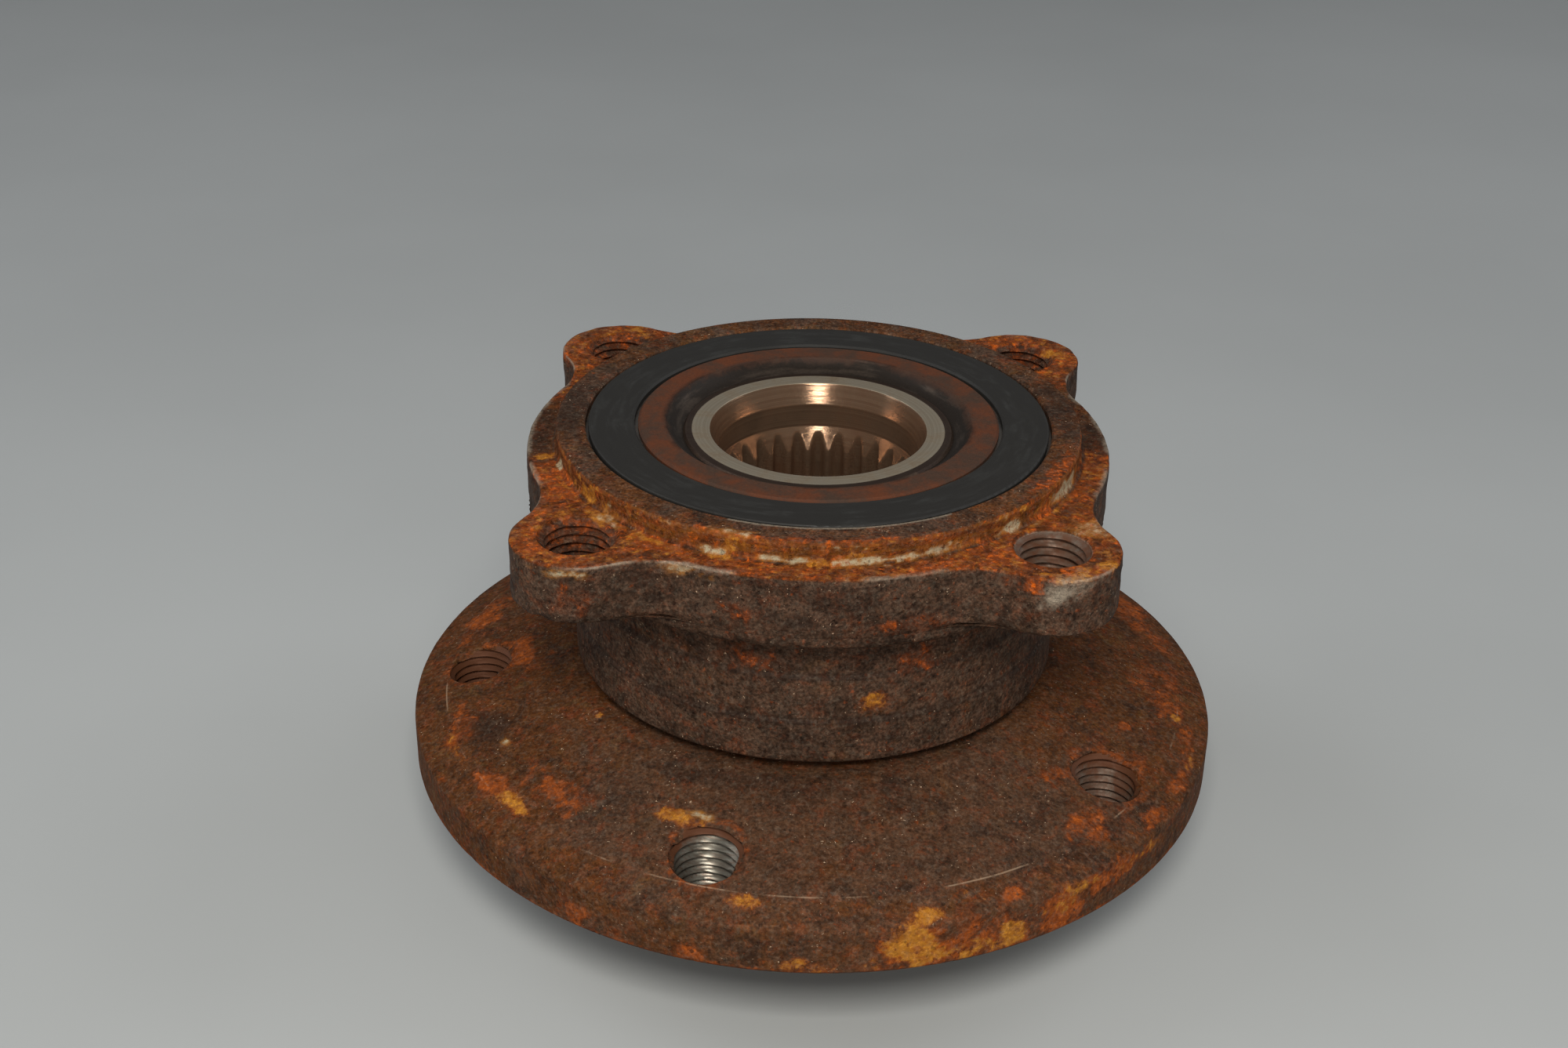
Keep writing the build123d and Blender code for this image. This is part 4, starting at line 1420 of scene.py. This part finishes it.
# ---- Outer ring ---------------------------------------------------------------------------------
@dataclass
class OuterRing:
    """The stationary ring: body, lugged knuckle flange and pilot, meshed for its rust.

    Attributes:
        round_radius: Radius of the flange between its lugs.
        lug_circle: Radius of the lugs' bolt circle.
        lug_end: Radius of a lug's end.
        lug_blend: Radius of the blend from a lug to the round flange.
        lugs: How many lugs there are.
        first_lug: Azimuth of the first lug, in degrees.
        face: Height of the flange's knuckle face.
        lug_low: Height of the lugs' underside.
        lug_round: Height of the rounding under a lug.
        flange_low: Height of the round flange's underside.
        flange_side: Radius of the round flange below the lugs.
        top: Height of the pilot's face.
        low: Height of the outboard end.
        pilot: Radius of the pilot.
        races: Radius and height of each raceway arc's centre, the inboard one first.
        race_radius: Radius of the raceways' arcs.
        race_end: Angle of a raceway's end from outwards, in degrees.
        tap: Cutter of the lugs' threads.
        step: Length of the outline between two mesh columns.
        clean_hole: Number of the lug hole that has kept bare threads.
    """

    round_radius: float = 50.0
    lug_circle: float = 53.0
    lug_end: float = 10.9
    lug_blend: float = 16.0
    lugs: int = 4
    first_lug: float = 45.0
    face: float = 78.7
    lug_low: float = 68.4
    lug_round: float = 1.2
    flange_low: float = 65.9
    flange_side: float = 49.75
    top: float = 82.6
    low: float = 40.1
    pilot: float = 45.0
    races: tuple[Spot, Spot] = ((32.3414, 70.7331), (32.3414, 52.0669))
    race_radius: float = 6.2
    race_end: float = 68.645
    tap: Tap = Tap(6.0, 5.19, 1.5, 0.7)
    step: float = 0.8
    clean_hole: int = 3

    def holes(self) -> list[Spot]:
        """Axes of the lugs' threaded holes."""
        return [polar(self.lug_circle, self.first_lug + 360 / self.lugs * n) for n in range(self.lugs)]

    def outline(self, turn: np.ndarray) -> np.ndarray:
        """Radius of the lugged outline.

        Args:
            turn: Angles from a lug's middle, in radians, up to half the angle between two lugs.

        Returns:
            The radius at each angle.
        """
        blend_centre = self.round_radius + self.lug_blend
        arm = self.lug_end + self.lug_blend
        spread = self.lug_circle**2 + blend_centre**2 - arm**2
        lean = math.acos(spread / (2 * self.lug_circle * blend_centre))
        share = self.lug_end / arm
        touch_x = self.lug_circle + share * (blend_centre * math.cos(lean) - self.lug_circle)
        touch = math.atan2(share * blend_centre * math.sin(lean), touch_x)
        turn = np.abs(turn)
        lug_arc = self.lug_end**2 - (self.lug_circle * np.sin(turn)) ** 2
        on_lug = self.lug_circle * np.cos(turn) + np.sqrt(np.maximum(lug_arc, 0.0))
        blend_arc = self.lug_blend**2 - (blend_centre * np.sin(lean - turn)) ** 2
        on_blend = blend_centre * np.cos(lean - turn) - np.sqrt(np.maximum(blend_arc, 0.0))
        return np.where(turn < touch, on_lug, np.where(turn < lean, on_blend, self.round_radius))

    def columns(self) -> tuple[np.ndarray, np.ndarray]:
        """Azimuths and outline radii of the mesh columns, evenly spaced along the outline."""
        half = math.pi / self.lugs
        dense = np.linspace(-half, half, 4001)
        radius = self.outline(dense)
        places = np.stack([radius * np.cos(dense), radius * np.sin(dense)], axis=-1)
        run = np.concatenate([[0.0], np.cumsum(np.linalg.norm(np.diff(places, axis=0), axis=1))])
        count = round(run[-1] / self.step)
        turns = np.interp(np.linspace(0.0, run[-1], count, endpoint=False), run, dense)
        first = math.radians(self.first_lug)
        azimuths = np.concatenate([turns + first + 2 * half * n for n in range(self.lugs)])
        return azimuths, np.tile(self.outline(turns), self.lugs)

    def corners(self) -> list[Corner]:
        """The ring's section, from the outboard end up the outside and down through the raceways."""
        outside = [
            (39.14, self.low), (42.54, self.low, FINE, 0.6), (42.54, 47.8, 0.9, 0.2),
            (42.14, 48.2, 0.3, 0.2), (42.14, 56.0, 0.9, 0.2), (41.74, 56.4, 0.3, 0.2),
            (41.74, self.flange_low, 0.9, 2.0), (self.flange_side, self.flange_low, 0.9, 1.2),
            (self.flange_side, self.lug_low, 0.7), (self.round_radius, self.lug_low, 0.045, 0.0, 1.0),
            (self.round_radius, self.face, 0.7, 0.5, 1.0), (self.pilot, self.face, 0.6, 1.0),
            (self.pilot, self.top, 0.45, 0.5), (40.3, self.top, 0.7),
            (40.0, 82.3, 0.5), (40.0, 77.6), (38.54, 77.6),
        ]
        inside = [(38.54, 44.2), (38.84, 44.2), (38.84, 40.4)]
        high, low = self.races
        raceways = groove(high, self.race_radius, 0.0, -self.race_end, 7)
        raceways += groove(low, self.race_radius, self.race_end, 0.0, 7)
        return [*(Corner(*row) for row in outside), *raceways, *(Corner(*row) for row in inside)]

    def places(self) -> np.ndarray:
        """The section swept round, with its flange following the lugs."""
        rows = section(self.corners())
        turns, outline = self.columns()
        radius = rows[:, :1] + rows[:, 2:3] * (outline - self.round_radius)[None, :]
        height = np.repeat(rows[:, 1:2], len(turns), axis=1)
        lift = np.clip((height - self.lug_low) / self.lug_round, 0.0, 1.0)
        lobed = rows[:, 2:3] >= 1.0
        tuck = self.lug_round * (1 - np.sqrt(1 - (1 - lift) ** 2)) * lobed
        radius = np.where(lobed, np.maximum(radius - tuck, self.flange_side), radius)
        return swept(radius, turns, height)

    def edge_nearness(self, places: np.ndarray, width: float) -> np.ndarray:
        """How near each place is to the flange's upper edge, from 0 to 1.

        Args:
            places: Places in mm, one row each.
            width: Distance at which the nearness has fallen to nothing.

        Returns:
            One share for each place.
        """
        azimuth = np.arctan2(places[:, 1], places[:, 0]) - math.radians(self.first_lug)
        pitch = 2 * math.pi / self.lugs
        turn = (azimuth + pitch / 2) % pitch - pitch / 2
        off = self.outline(turn) - np.hypot(places[:, 0], places[:, 1])
        return 1.0 - smooth_step(np.hypot(off, places[:, 2] - self.face), 0.25, width)

    def roughen(self, mesh: bpy.types.Mesh) -> None:
        """Give the forged flange its rough sides and the body its fainter skin.

        Args:
            mesh: The ring's mesh before its holes are cut.
        """
        places, normals = read_vectors(mesh.vertices, "co") / MM, read_vectors(mesh.vertex_normals, "vector")
        reach, height = np.hypot(places[:, 0], places[:, 1]), places[:, 2]
        side = smooth_step(reach, 47.0, 49.2) * (1.0 - smooth_step(height, self.face - 1.2, self.face - 0.1))
        ledge = smooth_step(reach, 45.4, 46.4) * smooth_step(height, self.face - 1.0, self.face - 0.1)
        body = smooth_step(reach, 41.0, 41.5) * (1.0 - smooth_step(height, 64.0, 66.5)) * (reach < 48.0)
        forged = 0.2 * rough_noise(places, 4.2, 3, 51) + 0.18 * rough_noise(places, 2.0, 2, 57)
        forged -= 0.3 * blots(places, 2.6, 2, 63, 0.2, 0.7)
        crust = 0.11 * rough_noise(places, 3.0, 3, 71) + 0.08 * rough_noise(places, 1.6, 1, 77)
        skin = 0.03 * rough_noise(places, 4.0, 3, 81)
        shift(mesh, places + normals * (side * forged + ledge * crust + body * skin)[:, None])

    def stains(self) -> list[Stain]:
        """Patches of rust, scale, pale deposits with painted highlights, bare metal, and darker patches at
        the left and right.
        """
        foot, face, top, wall = self.face + 0.5, self.face, self.top, self.pilot
        orange, ochre, pale, wear_and_highlight, dirt_and_shade = Mask.ORANGE, Mask.OCHRE, Mask.PALE, Mask.WEAR_AND_HIGHLIGHT, Mask.DIRT_AND_SHADE
        rows = [
            (pale, -110.5, wall, foot, 3.4, 0.9, 0.8, 0.95, 0.5),
            (pale, -96.5, wall, foot, 6.8, 0.8, 0.7, 0.86, 0.9),
            (pale, -77, wall, foot, 8.6, 0.8, 0.7, 0.9, 0.9),
            (orange, -71.4, wall + 0.3, foot + 0.2, 1, 1, 0.8, 1.15, 0.3),
            (orange, -102.4, wall + 0.3, foot + 0.2, 1.4, 1, 0.8, 1.1, 0.3),
            (ochre, -90, wall + 0.6, foot, 4, 0.8, 0.8, 0.9, 0.7),
            (pale, -64.6, wall, foot + 0.3, 4, 1, 1, 0.8, 0.6),
            (pale, -107, 44.2, top - 0.2, 5, 1, 0.9, 0.66, 0.7),
            (pale, -24, wall, face + 1.5, 7, 1, 1.5, 0.85, 0.6),
            (pale, -46, wall, foot + 0.4, 4, 1.2, 1.2, 0.85, 0.7),
            (pale, -34, 54, face, 4, 4, 1.4, 0.6, 0.8), (pale, -162, wall, foot, 1.8, 1, 1.4, 0.95, 0.4),
            (pale, -129.5, 61, face - 1.2, 8, 2.4, 0.9, 0.8, 0.8),
            (pale, -114.9, 50.4, face - 1.2, 5, 1.2, 1.2, 0.8, 0.8),
            (pale, -135, 46.4, face, 5, 1.2, 1, 0.66, 0.8),
            (orange, -84.9, wall + 0.4, foot, 2.2, 1.2, 1, 1.2, 0.4),
            (orange, -122.5, 47, face, 6.6, 1.8, 1.6, 1.05),
            (orange, -100, 47.2, face, 9, 1.3, 1.2, 0.85, 0.8),
            (orange, -156, 47.4, face, 8, 2.6, 2.2, 0.95, 0.8),
            (orange, -36.4, wall + 0.4, foot, 2.8, 1.2, 1.6, 1.2, 0.4),
            (orange, -53, 50, face, 5, 4, 1.6, 0.9, 0.8), (orange, -66, 48.4, face, 9, 1.4, 1.4, 0.8, 0.8),
            (ochre, -138.2, 46.6, face, 3.4, 1.6, 1.4, 0.8, 0.7),
            (ochre, -145, wall, face + 1.4, 4, 1, 1.6, 0.8, 0.7),
            (ochre, -126, 46.2, face, 3, 1, 1.4, 0.8, 0.7), (ochre, -168, 47.2, face, 1.2, 2.8, 1.2, 1, 0.4),
            (ochre, -109, 45.8, face, 4, 0.9, 1, 0.8, 0.7),
            (ochre, -48.5, 61.8, face, 6, 1.7, 1.2, 0.9, 0.6),
            (ochre, -43, 62.6, face, 3, 1.2, 1, 0.95, 0.6), (orange, -135, 55, face, 12, 9, 2, 0.52, 0.7),
            (orange, -45, 55, face, 12, 9, 2, 0.56, 0.7), (orange, 45, 55, face, 13, 9, 2, 0.66, 0.7),
            (orange, 135, 55, face, 13, 9, 2, 0.66, 0.7), (ochre, 42.3, 58.8, face, 4.4, 1.8, 1.8, 0.8, 0.7),
            (ochre, 126.6, 58.6, face, 3.4, 1.6, 1.8, 0.75, 0.7),
            (wear_and_highlight, -51.6, 61.2, face - 2.2, 3, 2.4, 2.6, 0.56, 0.9),
            (wear_and_highlight, -52.2, 61.2, face - 2.9, 1.3, 2.4, 1.7, 0.84, 0.8),
            (wear_and_highlight, -48.6, 61.8, face - 1.2, 3.4, 2.4, 1.4, 0.46, 0.9),
            (orange, -54.9, 58.4, face - 1.3, 2.6, 2, 1.5, 0.95, 0.6),
            (orange, -103.9, 49.9, 72.3, 3.4, 2, 2.6, 0.5, 0.8),
            (orange, -73.9, 49.9, 69.6, 6, 2, 2, 0.42, 0.8), (orange, -128, 61, 73, 5, 3, 3, 0.4, 0.9),
            (ochre, -74.8, 42, 51.6, 3.4, 1.6, 2.2, 0.6, 0.7), (orange, -66, 42, 58, 6, 1.6, 3.4, 0.4, 0.9),
            (orange, -104, 42, 59, 7, 1.6, 3, 0.4, 0.9), (dirt_and_shade, 178, 42.6, top, 16, 3, 1.2, 0.9),
            (dirt_and_shade, 8, 42.6, top, 13, 3, 1.2, 0.8), (dirt_and_shade, 178, 48, face, 12, 4, 2, 1),
            (dirt_and_shade, 2, 48, face, 12, 4, 2, 1), (orange, -25, 43.6, top, 12, 1.6, 1.2, 0.62, 0.8),
            (orange, -96, 44.5, top, 24, 0.8, 1.2, 0.66, 0.9),
        ]
        return [Stain(*row) for row in rows]

    def weather(self, mesh: bpy.types.Mesh) -> None:
        """Fill the ring's masks in.

        Args:
            mesh: The finished mesh.
        """
        places = read_vectors(mesh.vertices, "co") / MM
        masks = Weather(places)
        masks.stain(self.stains())
        reach, height = np.hypot(places[:, 0], places[:, 1]), places[:, 2]
        ledge = smooth_step(reach, 45.2, 46.0) * smooth_step(height, self.face - 0.5, self.face - 0.1)
        wall = smooth_step(reach, 44.6, 45.0) * smooth_step(height, self.face, self.face + 0.4)
        both = np.maximum(ledge, wall)
        sides = turn_from(places, FRONT)
        faded = 1.0 - 0.75 * smooth_step(sides, 78.0, 86.0) * (1.0 - smooth_step(sides, 105.0, 120.0))
        masks.lift(Mask.ORANGE, faded * np.maximum(0.5 * ledge, 0.46 * wall))
        masks.lift(Mask.OCHRE, faded * 0.42 * np.maximum(ledge, 0.8 * wall))
        near_wall = 1.0 - smooth_step(reach, 45.8, 47.5)
        masks.lift(Mask.PALE, faded * 0.3 * near_wall * both)
        masks.lift(Mask.ORANGE, faded * 0.95 * ledge * blots(places, 2.2, 2, 72, 0.12, 0.5))
        streaks = blots(places, 1.8, 2, 73, 0.15, 0.55) * (1.0 - smooth_step(reach, 46.6, 50.5))
        masks.lift(Mask.OCHRE, faded * 0.8 * both * streaks)
        flakes = blots(places, 1.6, 2, 74, 0.3, 0.6) * near_wall
        masks.lift(Mask.PALE, faded * 0.7 * both * flakes)
        top = smooth_step(height, self.top - 0.6, self.top - 0.2)
        masks.lift(Mask.WARM, np.maximum(0.95 * both, 0.5 * top))
        masks.lift(Mask.WARM, np.where(reach > 44.0, 0.12, 0.2))
        side = smooth_step(reach, 47.0, 49.2) * (height < self.face - 0.8) * (height > 62.0)
        # Painted shade in the dents of the forged sides: this is the same noise that dents them in roughen.
        hollow = rough_noise(places, 2.6, 2, 63) + 0.5 * rough_noise(places, 1.5, 1, 64)
        masks.lift(Mask.DIRT_AND_SHADE, 0.95 * side * smooth_step(hollow, 0.1, 0.45))
        masks.lift(Mask.DIRT_AND_SHADE, 0.9 * ledge * blots(places, 2.4, 2, 65, 0.3, 0.7))
        masks.lift(Mask.ORANGE, 0.42 * side * blots(places, 2.0, 2, 66, 0.35, 0.7))
        masks.lift(Mask.WEAR_AND_HIGHLIGHT, 0.6 * self.edge_nearness(places, 0.6) * blots(places, 5.0, 3, 91, -0.25, 0.35))
        for number, centre in enumerate(self.holes()):
            inside = (hole_distance(places, [centre]) < self.tap.root + 0.1) & (height < self.face - 0.4)
            masks.values[Mask.WEAR_AND_HIGHLIGHT][inside] = 0.4 if number == self.clean_hole else 0.0
            masks.values[Mask.ORANGE][inside] = 0.46
            masks.values[Mask.PALE][inside] = 0.0
        # Painted highlight: bright bare metal on the front of the pilot's inner top edge, where light
        # catches it.
        painted_highlight_arc = (reach < 40.4) & (height > self.top - 0.5) & (sides < 26.0)
        masks.lift(Mask.WEAR_AND_HIGHLIGHT, np.where(painted_highlight_arc, 0.8, 0.0))
        # Painted shade along the body's two small steps, darkening the chamfers between its bands.
        step = np.minimum(np.abs(height - 48.0), np.abs(height - 56.2))
        masks.lift(Mask.DIRT_AND_SHADE, 0.9 * (1.0 - smooth_step(step, 0.2, 1.2)) * (reach < 43.0))
        turned = (height > self.top - 0.6) | (reach < 42.8) & (height < 64.0)
        masks.lift(Mask.SMOOTH, np.where(turned, 0.85, 0.0))
        masks.store(mesh)

    def build(self, finishes: FinishBook) -> bpy.types.Object:
        """Mesh, cut, roughen and dress the ring.

        Args:
            finishes: The finishes.

        Returns:
            The piece.
        """
        piece = new_mesh("outer_ring_body", [tube(self.places())])
        self.roughen(piece.data)
        taps = [self.tap.shell(hole, self.lug_low, self.face) for hole in self.holes()]
        cut(piece, new_mesh("ring_taps", taps))
        self.weather(piece.data)
        dress(piece, finishes.ring, finishes.race, finishes.thread)
        middles = read_vectors(piece.data.polygons, "center") / MM
        choice = np.full(len(middles), RingZone.SKIN, np.int32)
        choice[np.hypot(middles[:, 0], middles[:, 1]) < 39.9] = RingZone.RACE
        clean = hole_distance(middles, [self.holes()[self.clean_hole]]) < self.tap.root + 0.05
        choice[clean & (middles[:, 2] < self.face - 0.5)] = RingZone.THREAD
        piece.data.polygons.foreach_set("material_index", choice)
        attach(piece, Body.OUTER.value)
        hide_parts("outer_ring")
        return piece


# ---- Bearing set and seals ----------------------------------------------------------------------
@dataclass
class BearingSet:
    """The pieces that keep their CAD meshes: inner ring, balls, cages and seals.

    Attributes:
        nodes: The CAD nodes by name.
    """

    nodes: dict[str, bpy.types.Object]

    def dress(self, finishes: FinishBook) -> list[bpy.types.Object]:
        """Give each node the finish that its name calls for.

        Args:
            finishes: The finishes.

        Returns:
            The dressed nodes.
        """
        plan = {
            "inner_ring": finishes.inner_face,
            "encoder_ring": finishes.encoder,
            "encoder_sleeve": finishes.case,
            "_seal_case": finishes.case,
            "_seal_lips": finishes.lips,
            "_cage": finishes.cage,
            "_ball_": finishes.ball,
        }
        dressed = []
        for name, node in sorted(self.nodes.items()):
            finish = next((finish for part, finish in plan.items() if part in name), None)
            if finish:
                dress(node, finish)
                dressed.append(node)
        return dressed


# ---- Studio -------------------------------------------------------------------------------------
@dataclass
class Studio:
    """Floor, lamps, world and camera.

    Attributes:
        eye: The camera's place, in metres.
        pitch: How far it looks down, in degrees.
        yaw: How far it looks to the right of +Y, in degrees.
        roll: How far it leans to the left, in degrees.
        lens: Its focal length on a sensor 36 mm wide.
        floor_tone: Colour of the floor.
        floor_reach: Half its edge, in mm.
    """

    eye: tuple[float, float, float] = (0.0, -0.3371, 0.2405)
    pitch: float = 27.93
    yaw: float = -0.953
    roll: float = 1.04
    lens: float = 49.63
    floor_tone: Colour = (170, 172, 171)
    floor_reach: float = 6000.0

    def camera(self) -> None:
        """Place the camera and make it the scene's."""
        pitch, yaw, roll = (math.radians(angle) for angle in (self.pitch, self.yaw, self.roll))
        ahead = Vector((math.sin(yaw) * math.cos(pitch), math.cos(yaw) * math.cos(pitch), -math.sin(pitch)))
        right = Vector((math.cos(yaw), -math.sin(yaw), 0.0))
        up = right.cross(ahead)
        side = math.cos(roll) * right + math.sin(roll) * up
        rise = -math.sin(roll) * right + math.cos(roll) * up
        data = bpy.data.cameras.new("camera")
        data.lens = self.lens
        data.sensor_width = 36.0
        data.clip_start = 0.01
        made = bpy.data.objects.new("camera", data)
        bpy.context.scene.collection.objects.link(made)
        made.matrix_world = Matrix.Translation(self.eye) @ Matrix((side, rise, -ahead)).transposed().to_4x4()
        bpy.context.scene.camera = made

    def lamp(
        self, name: str, place: tuple[float, float, float], size: float, power: float, tone: Colour
    ) -> None:
        """Add a square softbox that faces the unit.

        Args:
            name: Name of the lamp.
            place: Its place, in metres.
            size: Its edge, in metres.
            power: Its power, in watts.
            tone: Its colour.
        """
        data = bpy.data.lights.new(name, "AREA")
        data.shape = "SQUARE"
        data.size = size
        data.energy = power
        data.color = linear(tone)[:3]
        made = bpy.data.objects.new(name, data)
        bpy.context.scene.collection.objects.link(made)
        made.location = place
        aim = Vector((0.0, 0.0, 0.05)) - made.location
        made.rotation_mode = "QUATERNION"
        made.rotation_quaternion = aim.to_track_quat("-Z", "Y")

    def floor(self) -> None:
        """Lay the floor."""
        far = self.floor_reach
        corners = np.array([[-far, -far, 0.0], [far, -far, 0.0], [far, far, 0.0], [-far, far, 0.0]])
        made = new_mesh("floor", [(corners, [[0, 1, 2, 3]])])
        material, sheet = new_material("pale_table")
        faint = sheet.noise(sheet.add("TexCoord", {})["Object"], 6.0, 4.0, 0.5).step(0.3, 0.7)
        tone = sheet.times(self.floor_tone, faint.blend(0.94, 1.0))
        sheet.give(Base_Color=tone, Roughness=0.55, Specular_IOR_Level=0.25)
        made.data.materials.append(material)

    def build(self) -> None:
        """Set up everything that is not the unit."""
        scene = bpy.context.scene
        scene.view_settings.view_transform = "Standard"
        self.camera()
        self.floor()
        warm, cool = (255, 252, 246), (246, 250, 255)
        self.lamp("key_softbox", (0.0, -0.44, 0.46), 0.15, 2.9, warm)
        self.lamp("front_softbox", (0.0, -0.52, 0.25), 0.07, 0.6, warm)
        self.lamp("left_softbox", (-0.7, 0.1, 0.6), 0.6, 2.6, cool)
        self.lamp("right_softbox", (0.7, 0.25, 0.6), 0.6, 2.2, cool)
        world = bpy.data.worlds.new("studio")
        world.use_nodes = True
        background = world.node_tree.nodes["Background"]
        background.inputs["Color"].default_value = linear((206, 208, 210))
        background.inputs["Strength"].default_value = 0.3
        scene.world = world


def main() -> None:
    """Load the frame, build each sub-assembly in turn and report its pieces."""
    logging.basicConfig(level=logging.INFO, format="%(name)s: %(message)s", stream=sys.stdout)
    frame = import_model()
    finishes = FinishBook()
    for sub_assembly in (WheelHub(), OuterRing()):
        piece = sub_assembly.build(finishes)
        LOG.info("%s: %d faces", piece.name, len(piece.data.polygons))
    for node in BearingSet(frame["nodes"]).dress(finishes):
        LOG.info("%s: CAD mesh", node.name)
    Studio().build()


if __name__ == "__main__":
    main()
